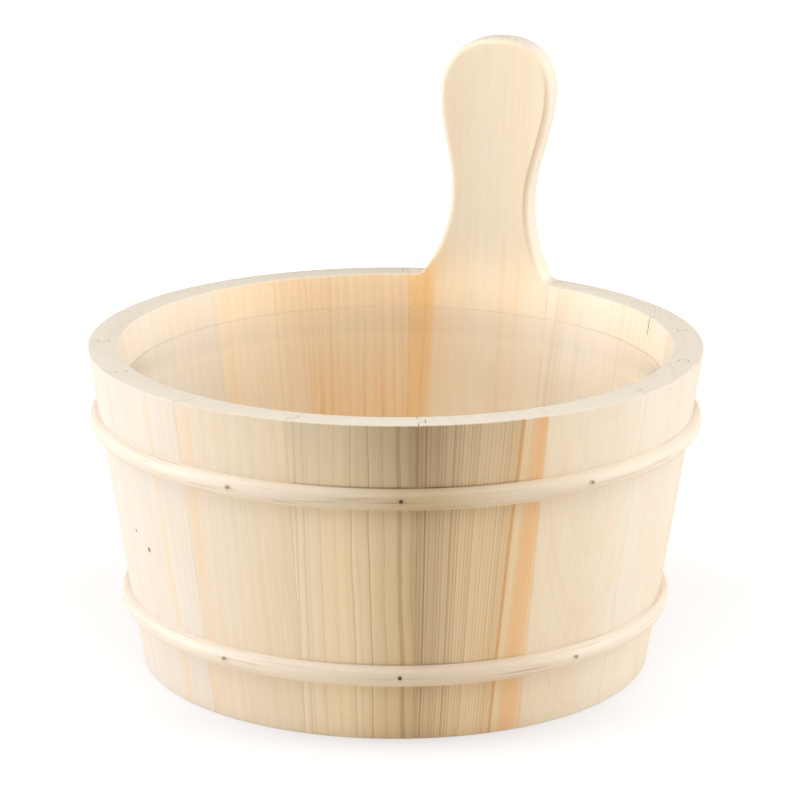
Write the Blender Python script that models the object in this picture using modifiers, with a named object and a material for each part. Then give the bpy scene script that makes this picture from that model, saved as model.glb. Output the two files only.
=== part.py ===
"""Wooden sauna bucket with a grip and a loose liner.

Fifteen staves stand in a ring: fourteen plain ones and one that runs on above the rim as a paddle-shaped grip.
Three boards make the floor and sit in a groove that runs round inside the staves. Two half-round hoops hold the
staves together and are pinned with small nails. A plastic liner stands loose on the floor and lifts out.

Metres, +Z up. The bucket stands on z = 0, and the grip is on the +Y side.
"""

from math import atan, ceil, cos, pi, radians, sin, tau

import bmesh
import bpy
import numpy as np
from mathutils import Matrix, Vector

# Wall of staves
RIM_RADIUS = 0.1332  # outside, at the rim
FOOT_RADIUS = 0.1112  # outside, at the foot
WALL_HEIGHT = 0.1414
WALL_THICKNESS = 0.0133  # measured level
PLAIN_STAVES = 14
HANDLE_STAVE_ANGLE = radians(33)  # the share of the ring that the wider stave with the grip takes
GRIP_OFF_CENTRE = radians(0.8)  # how far round from the grip's middle its stave's middle lies
FACET_ANGLE = radians(6)  # the widest flat that stands for a stretch of the round wall
SEAM_GAP = 0.0003
TONGUE_WIDTH = 0.004
TONGUE_LENGTH = 0.003
TONGUE_CLEARANCE = 0.0003

# Grip, the handle stave's part above the rim; its lengths run along the leaning stave
GRIP_LENGTH = 0.1108
GRIP_HEAD_HEIGHT = 0.0850  # where the head is widest
GRIP_WAIST_HEIGHT = 0.0380
GRIP_HEAD_HALF_WIDTH = 0.0269
GRIP_WAIST_HALF_WIDTH = 0.0192
GRIP_ROOT_HALF_WIDTH = 0.0300
GRIP_HEAD_SQUARENESS = 2.3  # exponent of the rounded top: 2 is an ellipse
GRIP_EDGE_RADIUS = 0.0030
GRIP_ROOT_EDGE_RADIUS = 0.0006
GRIP_EDGE_FADE = 0.015  # height over which the rounding of the edges comes in
GRIP_FILLET = 0.0025  # hollow where the grip meets the rim
GRIP_FILLET_SHARES = (0.0, 0.12, 0.45)  # heights in the hollow at which it is drawn
GRIP_TENON = 0.006  # how far the grip's blank reaches down inside the wall before the two are joined
GRIP_TENON_SINK = 0.0015  # how far that end lies inside the wall's faces
GRIP_SKIN = 0.00005  # how far the grip's faces lie inside the wall's

# Floor boards and the groove that holds them
FLOOR_BOARDS = 3
FLOOR_RECESS = 0.012  # from the foot up to the underside
FLOOR_THICKNESS = 0.010
FLOOR_TONGUE_THICKNESS = 0.0032
FLOOR_TONGUE_LENGTH = 0.003
GROOVE_DEPTH = 0.005
FIT_GAP = 0.0003

# Hoops
HOOP_WIDTH = 0.0092
HOOP_THICKNESS = 0.0045
UPPER_HOOP_DROP = 0.0319  # from the rim down to the hoop's middle
LOWER_HOOP_HEIGHT = 0.0298  # from the foot up to the hoop's middle
HOOP_ARC_STEPS = 5  # an odd number, so that the crown is flat where the nails sit
SCARF_ANGLE = radians(12)
SCARF_GAP = 0.0004

# Nails; places are counted in plain staves round the bucket, starting at the handle stave's edge
NAIL_SHANK_RADIUS = 0.0005
NAIL_HEAD_RADIUS = 0.0009
NAIL_HEAD_THICKNESS = 0.0004
NAIL_DOME = ((0.0, 1.0), (0.7, 0.8), (1.0, 0.3))  # the head's section, in shares of its radius and thickness
NAIL_LENGTH = 0.0120
NAIL_POINT_LENGTH = 0.0012
NAIL_CLEARANCE = 0.0002
NAIL_SEAT_GAP = 0.00006
NAIL_RISE = 0.0012  # how far above the hoop's crown the nails are driven
NAIL_SIDES = 8
NAIL_FROM_SCARF = radians(9.5)
UPPER_NAIL_PLACES = (0.45, 1.88, 3.4, 6.51, 7.87, 9.42, 12.42, 13.6)
LOWER_NAIL_PLACES = (0.4, 1.86, 3.46, 6.28, 7.87, 9.49, 12.36, 13.62)

# Liner
LINER_DROP = 0.0145  # from the rim down to the liner's edge
LINER_WALL = 0.0016
LINER_FLOOR = 0.0020
LINER_CORNER_RADIUS = 0.006
COLLAR_HEIGHT = 0.012
COLLAR_WALL = 0.0030
COLLAR_BEVEL = 0.00075  # on both corners of its upper edge
COLLAR_STEP = 0.0012  # how far the liner's wall lies inside the collar's outer face
LINER_SIDES = 60
LINER_CORNER_STEPS = 3

ROUND_SIDES = 60  # sides of the floor, its groove and the hoops
GRIP_COLUMNS = 6
GRIP_EDGE_STEPS = 2
GRIP_ROWS = 6  # rows in each stretch of the outline: flare, swell and head
WELD = 0.00001  # points nearer than this become one
OUTLINE_WELD = 0.000001  # the same for a flat outline
GRIP_WELD = 0.00002  # and for the grip's top
STRAIGHT_ANGLE = radians(0.1)  # edges that turn less than this are one flat
SHARP_ANGLE = radians(30)  # edges that turn more than this are shaded sharp

# Finishes: colour, roughness, metallic, alpha
STAVE_FINISH = ((0.86, 0.74, 0.56, 1.0), 0.55, 0.0, 1.0)
FLOOR_FINISH = ((0.84, 0.71, 0.52, 1.0), 0.60, 0.0, 1.0)
HOOP_FINISH = ((0.88, 0.79, 0.63, 1.0), 0.50, 0.0, 1.0)
STEEL_FINISH = ((0.20, 0.17, 0.14, 1.0), 0.45, 1.0, 1.0)
PLASTIC_FINISH = ((0.93, 0.90, 0.85, 1.0), 0.30, 0.0, 0.6)

# Worked out from the sizes above
WALL_SLOPE = (RIM_RADIUS - FOOT_RADIUS) / WALL_HEIGHT
LEAN = atan(WALL_SLOPE)
PLAIN_STAVE_ANGLE = (tau - HANDLE_STAVE_ANGLE) / PLAIN_STAVES
HANDLE_ANGLE = pi / 2
FIRST_SEAM = HANDLE_ANGLE + GRIP_OFF_CENTRE + HANDLE_STAVE_ANGLE / 2
LAST_SEAM = FIRST_SEAM - HANDLE_STAVE_ANGLE
FLOOR_TOP = FLOOR_RECESS + FLOOR_THICKNESS
GRIP_REACH = RIM_RADIUS + (GRIP_LENGTH - GRIP_EDGE_RADIUS) * sin(LEAN)
ROUND_LOSS = cos(pi / ROUND_SIDES)  # how near the middle of a flat comes to the axis
FACET_LOSS = cos(FACET_ANGLE / 2)


def wall_radius(height):
    """Outer radius of the wall: one straight taper from the foot, past the rim, to the top of the grip."""
    return FOOT_RADIUS + WALL_SLOPE * height


def bore_radius(height):
    """Clear radius inside the wall, measured to the middle of its flats."""
    return (wall_radius(height) - WALL_THICKNESS) * FACET_LOSS


def clear_scene():
    for old in list(bpy.data.objects):
        bpy.data.objects.remove(old)


def new_collection(name):
    collection = bpy.data.collections.new(name)
    bpy.context.scene.collection.children.link(collection)
    return collection


def finish(obj, colour, roughness, metallic, alpha):
    """Give the object a material of its own."""
    material = bpy.data.materials.new(obj.name + "_finish")
    material.use_nodes = True
    shader = material.node_tree.nodes["Principled BSDF"]
    shader.inputs["Base Color"].default_value = colour
    shader.inputs["Roughness"].default_value = roughness
    shader.inputs["Metallic"].default_value = metallic
    shader.inputs["Alpha"].default_value = alpha
    obj.data.materials.append(material)


def add_object(name, mesh, collection, axis):
    """Link a mesh as an object that hangs on the bucket's axis."""
    mesh.shade_smooth()
    mesh.set_sharp_from_angle(angle=SHARP_ANGLE)
    obj = bpy.data.objects.new(name, mesh)
    obj.parent = axis
    collection.objects.link(obj)
    return obj


def add_cutter(name, mesh, collection, axis):
    cutter = add_object(name, mesh, collection, axis)
    cutter.hide_render = True
    cutter.display_type = "WIRE"
    return cutter


def cut(obj, tool, operation="DIFFERENCE"):
    modifier = obj.modifiers.new(tool.name, "BOOLEAN")
    modifier.operation = operation
    modifier.solver = "EXACT"
    modifier.object = tool


def turn(obj, sides):
    """Turn the object's profile round its own Z axis."""
    screw = obj.modifiers.new("turned", "SCREW")
    screw.steps = sides
    screw.render_steps = sides
    screw.use_merge_vertices = True
    screw.merge_threshold = WELD
    screw.use_smooth_shade = True


def profile_mesh(name, points, closed=False):
    """Edges through (radius, height) points, in order down the outer side."""
    count = len(points)
    edges = [(i, (i + 1) % count) for i in range(count if closed else count - 1)]
    mesh = bpy.data.meshes.new(name)
    mesh.from_pydata([(radius, 0.0, height) for radius, height in points], edges, [])
    return mesh


def mesh_from_bmesh(name, bm):
    mesh = bpy.data.meshes.new(name)
    bmesh.ops.recalc_face_normals(bm, faces=bm.faces)
    bm.to_mesh(mesh)
    bm.free()
    return mesh


def outline_solid(name, outline, depth):
    """A closed flat outline of (x, y) corners as a bmesh solid from z = 0 up to z = depth."""
    curve = bpy.data.curves.new(name, "CURVE")
    curve.dimensions = "2D"
    curve.fill_mode = "BOTH"
    curve.extrude = depth / 2
    spline = curve.splines.new("POLY")
    spline.points.add(len(outline) - 1)
    for point, (x, y) in zip(spline.points, outline):
        point.co = (x, y, 0.0, 1.0)
    spline.use_cyclic_u = True
    drawn = bpy.data.objects.new(name, curve)
    bpy.context.scene.collection.objects.link(drawn)
    graph = bpy.context.evaluated_depsgraph_get()
    mesh = bpy.data.meshes.new_from_object(drawn.evaluated_get(graph))
    bpy.data.objects.remove(drawn)
    bm = bmesh.new()
    bm.from_mesh(mesh)
    bpy.data.meshes.remove(mesh)
    bmesh.ops.remove_doubles(bm, verts=bm.verts, dist=OUTLINE_WELD)
    bmesh.ops.dissolve_limit(bm, angle_limit=STRAIGHT_ANGLE, verts=bm.verts, edges=bm.edges)
    bmesh.ops.translate(bm, verts=bm.verts, vec=(0.0, 0.0, depth / 2))
    return bm


def seam_corner(angle, radius, shift):
    """A point at a radius on the seam's plane, moved along the ring by shift."""
    return (
        radius * cos(angle) - shift * sin(angle),
        radius * sin(angle) + shift * cos(angle),
    )


def slot_corners(start, mouth):
    """Foot of the slot that takes the neighbour's tongue, from its inner lip round to its outer one."""
    middle = FOOT_RADIUS - WALL_THICKNESS / 2
    half_slot = TONGUE_WIDTH / 2 + TONGUE_CLEARANCE
    end = TONGUE_LENGTH + TONGUE_CLEARANCE
    return [
        seam_corner(start, middle - half_slot, mouth),
        seam_corner(start, middle - half_slot, end),
        seam_corner(start, middle + half_slot, end),
        seam_corner(start, middle + half_slot, mouth),
    ]


def stave_section(start, end, slotted):
    """Foot of a stave between two seams: a tongue on its end seam and, if wanted, a slot in its start seam."""
    outer = FOOT_RADIUS
    inner = FOOT_RADIUS - WALL_THICKNESS
    middle = (outer + inner) / 2
    facets = ceil((end - start) / FACET_ANGLE)
    arc = np.linspace(start, end, facets + 1)[1:-1]
    half_tongue = TONGUE_WIDTH / 2
    half_gap = SEAM_GAP / 2
    tongue_end = TONGUE_LENGTH - half_gap
    section = [seam_corner(start, outer, half_gap)]
    section += [seam_corner(angle, outer, 0.0) for angle in arc]
    section += [
        seam_corner(end, outer, -half_gap),
        seam_corner(end, middle + half_tongue, -half_gap),
        seam_corner(end, middle + half_tongue, tongue_end),
        seam_corner(end, middle - half_tongue, tongue_end),
        seam_corner(end, middle - half_tongue, -half_gap),
        seam_corner(end, inner, -half_gap),
    ]
    section += [seam_corner(angle, inner, 0.0) for angle in arc[::-1]]
    section.append(seam_corner(start, inner, half_gap))
    if slotted:
        section += slot_corners(start, half_gap)
    return section


def draw_up(name, section, height):
    """The section drawn up to a height, with each top corner moved outwards along its own radius as the wall is."""
    bm = outline_solid(name, section, height)
    for vert in bm.verts:
        if vert.co.z > height / 2:
            radius = vert.co.xy.length
            vert.co.xy *= (radius + WALL_SLOPE * height) / radius
    return mesh_from_bmesh(name, bm)


def slot_cutter(name, start, collection, axis):
    """A bar that clears the neighbour's tongue, also where the grip's blank comes down beside it."""
    section = slot_corners(start, -TONGUE_LENGTH)
    mesh = draw_up(name, section, WALL_HEIGHT + TONGUE_CLEARANCE)
    return add_cutter(name, mesh, collection, axis)


def grip_outline():
    """Half widths and heights of the grip's edge, from the rim up to the top of the head.

    The flare is a parabola from the root in to the waist, with a small fillet added at the rim. The swell is a
    smooth step from the waist out to the head, and the head is a quarter of a superellipse.
    """
    fillet = GRIP_FILLET * np.array(GRIP_FILLET_SHARES)
    flare = np.linspace(GRIP_FILLET, GRIP_WAIST_HEIGHT, GRIP_ROWS)
    low = np.concatenate([fillet, flare])
    hollow = np.clip(1 - low / GRIP_FILLET, 0, 1)
    low_width = (
        GRIP_WAIST_HALF_WIDTH
        + (GRIP_ROOT_HALF_WIDTH - GRIP_WAIST_HALF_WIDTH) * (1 - low / GRIP_WAIST_HEIGHT) ** 2
        + GRIP_FILLET * (1 - np.sqrt(1 - hollow**2))
    )
    share = np.linspace(0, 1, GRIP_ROWS)[1:]
    swell = GRIP_WAIST_HEIGHT + (GRIP_HEAD_HEIGHT - GRIP_WAIST_HEIGHT) * share
    swell_width = GRIP_WAIST_HALF_WIDTH + (GRIP_HEAD_HALF_WIDTH - GRIP_WAIST_HALF_WIDTH) * (
        3 * share**2 - 2 * share**3
    )
    turn_angle = np.linspace(0, pi / 2, GRIP_ROWS + 2)[1:]
    power = 2 / GRIP_HEAD_SQUARENESS
    head = GRIP_HEAD_HEIGHT + (GRIP_LENGTH - GRIP_HEAD_HEIGHT) * np.sin(turn_angle) ** power
    head_width = GRIP_HEAD_HALF_WIDTH * np.clip(np.cos(turn_angle), 0, 1) ** power
    head_width[-1] = 0.0
    return np.concatenate([low_width, swell_width, head_width]), np.concatenate([low, swell, head])


def grip_rings():
    """Closed rings of points round the grip, one for each point of its outline.

    A ring runs across the outer face, round the edge, back across the inner face and round the other edge. On the
    rounded edges it is the outline moved in by a quarter circle while it goes from the face into the thickness.
    """
    width, height = grip_outline()
    along_width = np.gradient(width)
    along_height = np.gradient(height)
    along_width[-1], along_height[-1] = -1.0, 0.0
    length = np.hypot(along_width, along_height)
    normal_width, normal_height = along_height / length, -along_width / length
    grown = np.clip(height / GRIP_EDGE_FADE, 0, 1)
    edge = GRIP_ROOT_EDGE_RADIUS + (GRIP_EDGE_RADIUS - GRIP_ROOT_EDGE_RADIUS) * grown

    # one more ring below the rim, well inside the wall, for the join
    width = np.concatenate([[width[0] - GRIP_TENON_SINK], width])
    height = np.concatenate([[-GRIP_TENON], height])
    normal_width = np.concatenate([[1.0], normal_width])
    normal_height = np.concatenate([[0.0], normal_height])
    edge = np.concatenate([[edge[0]], edge])
    skin = np.full(len(width), GRIP_SKIN)
    skin[0] = GRIP_TENON_SINK

    across = np.linspace(-1, 1, GRIP_COLUMNS + 1)
    bend = np.linspace(0, pi / 2, GRIP_EDGE_STEPS + 1)[1:]
    flat = np.ones_like(across)
    inward, deeper, rounded = 1 - np.sin(bend), 1 - np.cos(bend), np.ones_like(bend)
    side = np.concatenate([across, rounded, rounded, -across, -rounded, -rounded])
    inset = np.concatenate([flat, inward, inward[::-1], flat, inward, inward[::-1]])
    sunk = np.concatenate([0 * flat, deeper, deeper[::-1], 0 * flat, deeper, deeper[::-1]])
    half = len(side) // 2
    inner = np.arange(len(side)) >= half - len(bend)
    inner &= np.arange(len(side)) < len(side) - len(bend)

    moved = edge[:, None] * inset
    x = side * (width[:, None] - moved * normal_width[:, None])
    up = height[:, None] - moved * normal_height[:, None]
    depth = skin[:, None] + edge[:, None] * sunk
    depth = np.where(inner, WALL_THICKNESS - depth, depth)
    z = WALL_HEIGHT + up * cos(LEAN)
    y = np.sqrt((wall_radius(z) - depth) ** 2 - x**2)
    return np.stack([x, y, z], axis=-1)


def grip_mesh(name):
    """The rings joined into one closed skin: the last ring falls together on the middle line."""
    rings = grip_rings()
    bm = bmesh.new()
    grid = [[bm.verts.new(point) for point in ring] for ring in rings]
    bm.faces.new(grid[0])
    for lower, upper in zip(grid, grid[1:]):
        for i in range(len(lower)):
            j = (i + 1) % len(lower)
            bm.faces.new((lower[i], lower[j], upper[j], upper[i]))
    bmesh.ops.remove_doubles(bm, verts=bm.verts, dist=GRIP_WELD)
    bmesh.ops.dissolve_degenerate(bm, edges=bm.edges, dist=WELD)
    return mesh_from_bmesh(name, bm)


def cylinder(bm, radius, depth, sides, matrix):
    bmesh.ops.create_cone(
        bm,
        cap_ends=True,
        segments=sides,
        radius1=radius,
        radius2=radius,
        depth=depth,
        matrix=matrix,
    )


def groove_radius():
    """Bottom of the groove for the floor, measured to its corners."""
    return bore_radius(FLOOR_RECESS) + GROOVE_DEPTH


def groove_cutter(collection, axis):
    height = FLOOR_THICKNESS + 2 * FIT_GAP
    bm = bmesh.new()
    middle = Matrix.Translation((0.0, 0.0, FLOOR_RECESS + FLOOR_THICKNESS / 2))
    cylinder(bm, groove_radius(), height, ROUND_SIDES, middle)
    return add_cutter("groove_cutter", mesh_from_bmesh("groove_cutter", bm), collection, axis)


def floor_radius():
    return groove_radius() * ROUND_LOSS - FIT_GAP


def floor_blank(collection, axis):
    """A round taller than the floor, which trims the boards."""
    bm = bmesh.new()
    middle = Matrix.Translation((0.0, 0.0, FLOOR_RECESS + FLOOR_THICKNESS / 2))
    cylinder(bm, floor_radius(), 2 * FLOOR_THICKNESS, ROUND_SIDES, middle)
    return add_cutter("floor_blank", mesh_from_bmesh("floor_blank", bm), collection, axis)


def board_outline(index):
    """End view of a floor board: a tongue on its right edge and a slot in its left, except at the rounded ends."""
    span = 2 * floor_radius() / FLOOR_BOARDS
    left = -floor_radius() + index * span
    right = left + span
    half_gap = SEAM_GAP / 2
    middle = FLOOR_THICKNESS / 2
    half_tongue = FLOOR_TONGUE_THICKNESS / 2
    half_slot = half_tongue + TONGUE_CLEARANCE
    beyond = GROOVE_DEPTH
    outline = []
    if index == 0:
        outline += [(left - beyond, FLOOR_THICKNESS), (left - beyond, 0.0)]
    else:
        slot_end = left + FLOOR_TONGUE_LENGTH + TONGUE_CLEARANCE
        outline += [
            (left + half_gap, FLOOR_THICKNESS),
            (left + half_gap, middle + half_slot),
            (slot_end, middle + half_slot),
            (slot_end, middle - half_slot),
            (left + half_gap, middle - half_slot),
            (left + half_gap, 0.0),
        ]
    if index == FLOOR_BOARDS - 1:
        outline += [(right + beyond, 0.0), (right + beyond, FLOOR_THICKNESS)]
    else:
        tongue_end = right + FLOOR_TONGUE_LENGTH - half_gap
        outline += [
            (right - half_gap, 0.0),
            (right - half_gap, middle - half_tongue),
            (tongue_end, middle - half_tongue),
            (tongue_end, middle + half_tongue),
            (right - half_gap, middle + half_tongue),
            (right - half_gap, FLOOR_THICKNESS),
        ]
    return outline


def build_floor(parts, cutters, axis):
    blank = floor_blank(cutters, axis)
    length = 2 * (floor_radius() + GROOVE_DEPTH)
    upright = Matrix.Rotation(pi / 2, 4, "X")
    for index in range(FLOOR_BOARDS):
        name = f"floor_board_{index + 1}"
        bm = outline_solid(name, board_outline(index), length)
        bmesh.ops.translate(bm, verts=bm.verts, vec=(0.0, 0.0, -length / 2))
        bmesh.ops.transform(bm, matrix=upright, verts=bm.verts)
        board = add_object(name, mesh_from_bmesh(name, bm), parts, axis)
        board.location.z = FLOOR_RECESS
        cut(board, blank, "INTERSECT")
        finish(board, *FLOOR_FINISH)


def hoop_point(middle_height, along, out):
    """(radius, height) of a point on a hoop's section, which leans with the wall."""
    seat = (wall_radius(middle_height) + FIT_GAP) / ROUND_LOSS
    return (
        seat + along * sin(LEAN) + out * cos(LEAN),
        middle_height + along * cos(LEAN) - out * sin(LEAN),
    )


def hoop_section(middle_height):
    """Half-round section: a polygon round half an ellipse, with one flat along its crown."""
    crown = cos(pi / HOOP_ARC_STEPS / 2)
    section = []
    for angle in np.linspace(pi / 2, -pi / 2, HOOP_ARC_STEPS + 1):
        out = HOOP_THICKNESS * max(0.0, cos(angle)) / crown
        section.append(hoop_point(middle_height, HOOP_WIDTH / 2 * sin(angle), out))
    return section


def scarf_cutter(name, middle_height, collection, axis):
    """A thin slanting slot through the hoop behind the handle stave, where its two ends lap."""
    radius, height = hoop_point(middle_height, 0.0, HOOP_THICKNESS / 2)
    outward = Vector((0.0, cos(LEAN), -sin(LEAN)))
    upward = Vector((0.0, sin(LEAN), cos(LEAN)))
    slant = Vector((cos(SCARF_ANGLE), 0.0, 0.0)) + sin(SCARF_ANGLE) * outward
    across = slant.cross(upward)
    length = 2 * HOOP_THICKNESS / sin(SCARF_ANGLE)
    sides = Matrix((slant * length, upward * 2 * HOOP_WIDTH, across * SCARF_GAP))
    box = sides.transposed().to_4x4()
    box.translation = (0.0, radius, height)
    bm = bmesh.new()
    bmesh.ops.create_cube(bm, size=1.0, matrix=box)
    return add_cutter(name, mesh_from_bmesh(name, bm), collection, axis)


def nail_angles(places):
    """Angles of a hoop's nails: the counted places, and one on each side of the lap."""
    counted = [FIRST_SEAM + place * PLAIN_STAVE_ANGLE for place in places]
    return [HANDLE_ANGLE - NAIL_FROM_SCARF, HANDLE_ANGLE + NAIL_FROM_SCARF] + counted


def nail_seats():
    """Name, place and turn of each nail: the place is under the head, and the turn points it out of the wall."""
    hoops = (
        ("upper", WALL_HEIGHT - UPPER_HOOP_DROP, UPPER_NAIL_PLACES),
        ("lower", LOWER_HOOP_HEIGHT, LOWER_NAIL_PLACES),
    )
    seats = []
    for hoop, middle_height, places in hoops:
        radius, height = hoop_point(middle_height, NAIL_RISE, HOOP_THICKNESS + NAIL_SEAT_GAP)
        for number, angle in enumerate(nail_angles(places), 1):
            place = Vector((radius * cos(angle), radius * sin(angle), height))
            seats.append((f"{hoop}_nail_{number:02d}", place, (0.0, pi / 2 + LEAN, angle)))
    return seats


def nail_profile():
    dome = [(NAIL_HEAD_RADIUS * out, NAIL_HEAD_THICKNESS * up) for out, up in NAIL_DOME]
    return dome + [
        (NAIL_HEAD_RADIUS, 0.0),
        (NAIL_SHANK_RADIUS, 0.0),
        (NAIL_SHANK_RADIUS, NAIL_POINT_LENGTH - NAIL_LENGTH),
        (0.0, -NAIL_LENGTH),
    ]


def build_nails(parts, axis):
    mesh = profile_mesh("nail", nail_profile())
    for name, place, turned in nail_seats():
        nail = add_object(name, mesh, parts, axis)
        nail.location = place
        nail.rotation_euler = turned
        turn(nail, NAIL_SIDES)
        if not mesh.materials:
            finish(nail, *STEEL_FINISH)


def nail_bores(collection, axis):
    """One tool with all the nails' holes, each open at the hoop's face and blind in the stave."""
    bm = bmesh.new()
    depth = NAIL_LENGTH + NAIL_CLEARANCE + HOOP_THICKNESS
    for _, place, turned in nail_seats():
        tilt = Matrix.Rotation(turned[2], 4, "Z") @ Matrix.Rotation(turned[1], 4, "Y")
        sunk = Matrix.Translation((0.0, 0.0, HOOP_THICKNESS - depth / 2))
        where = Matrix.Translation(place) @ tilt @ sunk
        cylinder(bm, NAIL_SHANK_RADIUS + NAIL_CLEARANCE, depth, NAIL_SIDES, where)
    return add_cutter("nail_bores", mesh_from_bmesh("nail_bores", bm), collection, axis)


def build_hoops(parts, cutters, axis, bores):
    hoops = (
        ("upper_hoop", WALL_HEIGHT - UPPER_HOOP_DROP),
        ("lower_hoop", LOWER_HOOP_HEIGHT),
    )
    for name, middle_height in hoops:
        mesh = profile_mesh(name, hoop_section(middle_height), closed=True)
        hoop = add_object(name, mesh, parts, axis)
        turn(hoop, ROUND_SIDES)
        cut(hoop, scarf_cutter(name + "_scarf", middle_height, cutters, axis))
        cut(hoop, bores)
        finish(hoop, *HOOP_FINISH)


def build_staves(parts, cutters, axis, bores):
    groove = groove_cutter(cutters, axis)
    grip = add_cutter("grip_blank", grip_mesh("grip_blank"), cutters, axis)
    section = stave_section(LAST_SEAM, FIRST_SEAM, slotted=False)
    mesh = draw_up("handle_stave", section, WALL_HEIGHT)
    handle_stave = add_object("handle_stave", mesh, parts, axis)
    cut(handle_stave, grip, "UNION")
    cut(handle_stave, slot_cutter("handle_stave_slot", LAST_SEAM, cutters, axis))
    cut(handle_stave, groove)
    cut(handle_stave, bores)
    finish(handle_stave, *STAVE_FINISH)
    for number in range(1, PLAIN_STAVES + 1):
        name = f"stave_{number:02d}"
        end = FIRST_SEAM + number * PLAIN_STAVE_ANGLE
        section = stave_section(end - PLAIN_STAVE_ANGLE, end, slotted=True)
        stave = add_object(name, draw_up(name, section, WALL_HEIGHT), parts, axis)
        cut(stave, groove)
        cut(stave, bores)
        finish(stave, *STAVE_FINISH)


def liner_profile():
    """Inner middle of the floor, up the inside, over the collar's edge, down the outside and back to the middle."""
    top = WALL_HEIGHT - LINER_DROP
    bottom = FLOOR_TOP + FIT_GAP
    collar_foot = top - COLLAR_HEIGHT
    floor = bottom + LINER_FLOOR

    def outside(height):
        return bore_radius(height) - FIT_GAP

    def wall_outside(height):
        return outside(height) - COLLAR_STEP

    def inside(height):
        return wall_outside(height) - LINER_WALL

    inner_radius = LINER_CORNER_RADIUS - LINER_WALL
    bends = np.linspace(0, pi / 2, LINER_CORNER_STEPS + 1)
    corner_in = inside(floor + inner_radius) - inner_radius
    corner_out = wall_outside(bottom + LINER_CORNER_RADIUS) - LINER_CORNER_RADIUS
    profile = [(0.0, floor)]
    profile += [
        (corner_in + inner_radius * sin(bend), floor + inner_radius * (1 - cos(bend)))
        for bend in bends
    ]
    profile += [
        (inside(collar_foot), collar_foot),
        (outside(top) - COLLAR_WALL, collar_foot + COLLAR_STEP),
        (outside(top) - COLLAR_WALL, top - COLLAR_BEVEL),
        (outside(top) - COLLAR_WALL + COLLAR_BEVEL, top),
        (outside(top) - COLLAR_BEVEL, top),
        (outside(top - COLLAR_BEVEL), top - COLLAR_BEVEL),
        (outside(collar_foot), collar_foot),
        (wall_outside(collar_foot), collar_foot),
    ]
    profile += [
        (corner_out + LINER_CORNER_RADIUS * cos(bend), bottom + LINER_CORNER_RADIUS * (1 - sin(bend)))
        for bend in bends
    ]
    profile.append((0.0, bottom))
    return profile


def build_liner(parts, axis):
    liner = add_object("liner", profile_mesh("liner", liner_profile()), parts, axis)
    turn(liner, LINER_SIDES)
    finish(liner, *PLASTIC_FINISH)


def main():
    clear_scene()
    parts = new_collection("sauna_bucket")
    cutters = new_collection("cutters")
    axis = bpy.data.objects.new("bucket_axis", None)
    axis.location.y = (RIM_RADIUS - GRIP_REACH) / 2
    parts.objects.link(axis)
    bores = nail_bores(cutters, axis)
    build_staves(parts, cutters, axis, bores)
    build_floor(parts, cutters, axis)
    build_hoops(parts, cutters, axis, bores)
    build_nails(parts, axis)
    build_liner(parts, axis)


main()
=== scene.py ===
"""Looks of a wooden sauna bucket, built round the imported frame.

The staves, the grip, the hoops and the liner are surfaces worked out with numpy, each in the place of
its solid. The nails and the floor boards keep their solids and get finishes. The wood is cut out of growth
rings that run through each stave, so that its faces, its edges and the end grain on the rim belong together.
"""

from dataclasses import dataclass
from math import atan, cos, hypot, pi, radians, sin, tau

import bmesh
import bpy
import numpy as np
from bpy.props import FloatProperty, FloatVectorProperty, PointerProperty
from mathutils import Matrix, Vector


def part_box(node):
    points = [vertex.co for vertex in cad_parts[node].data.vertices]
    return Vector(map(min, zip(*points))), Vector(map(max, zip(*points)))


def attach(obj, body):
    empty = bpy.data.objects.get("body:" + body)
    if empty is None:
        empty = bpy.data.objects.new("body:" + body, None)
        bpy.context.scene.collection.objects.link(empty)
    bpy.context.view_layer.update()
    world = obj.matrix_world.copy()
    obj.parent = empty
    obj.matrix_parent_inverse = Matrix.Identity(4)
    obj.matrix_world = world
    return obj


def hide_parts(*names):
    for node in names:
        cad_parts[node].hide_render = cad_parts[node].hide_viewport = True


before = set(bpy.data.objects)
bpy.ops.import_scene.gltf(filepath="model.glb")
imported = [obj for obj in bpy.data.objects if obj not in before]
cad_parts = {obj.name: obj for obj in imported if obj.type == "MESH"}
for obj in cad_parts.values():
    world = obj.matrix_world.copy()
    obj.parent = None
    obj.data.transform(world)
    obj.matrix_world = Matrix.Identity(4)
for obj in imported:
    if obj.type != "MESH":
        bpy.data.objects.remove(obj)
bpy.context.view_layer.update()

bl_info = {
    "name": "Sauna Bucket",
    "version": (1, 0, 0),
    "blender": (4, 5, 0),
    "location": "3D View > Sidebar > Bucket",
    "description": "Builds the wood, the hoops and the liner of a sauna bucket",
    "category": "Add Mesh",
}

BUCKET = "bucket"
LINER = "liner"
HANDLE = "handle_stave"

LINER_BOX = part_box("liner")
AXIS_Y = (LINER_BOX[0][1] + LINER_BOX[1][1]) / 2
RIM_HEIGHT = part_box("stave_01")[1][2]

# How the ring is shared out
PLAIN_STAVES = 14
HANDLE_ANGLE = pi / 2
HANDLE_STAVE_ANGLE = radians(33)
GRIP_OFF_CENTRE = radians(0.8)
PLAIN_STAVE_ANGLE = (tau - HANDLE_STAVE_ANGLE) / PLAIN_STAVES
FIRST_SEAM = HANDLE_ANGLE + GRIP_OFF_CENTRE + HANDLE_STAVE_ANGLE / 2
FRONT = radians(-65.8)  # direction of the front from the axis, turned from +X, where the hoops get painted shade


def srgb(red, green, blue):
    """Linear colour of an 8-bit screen colour, by the usual display curve."""
    shares = np.array([red, green, blue]) / 255
    linear = np.where(shares <= 0.04045, shares / 12.92, ((shares + 0.055) / 1.055) ** 2.4)
    return tuple(float(value) for value in linear)


def length(name, description, default):
    """A length in metres that the user can change."""
    return FloatProperty(name=name, description=description, default=default, unit="LENGTH", precision=5)


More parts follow.
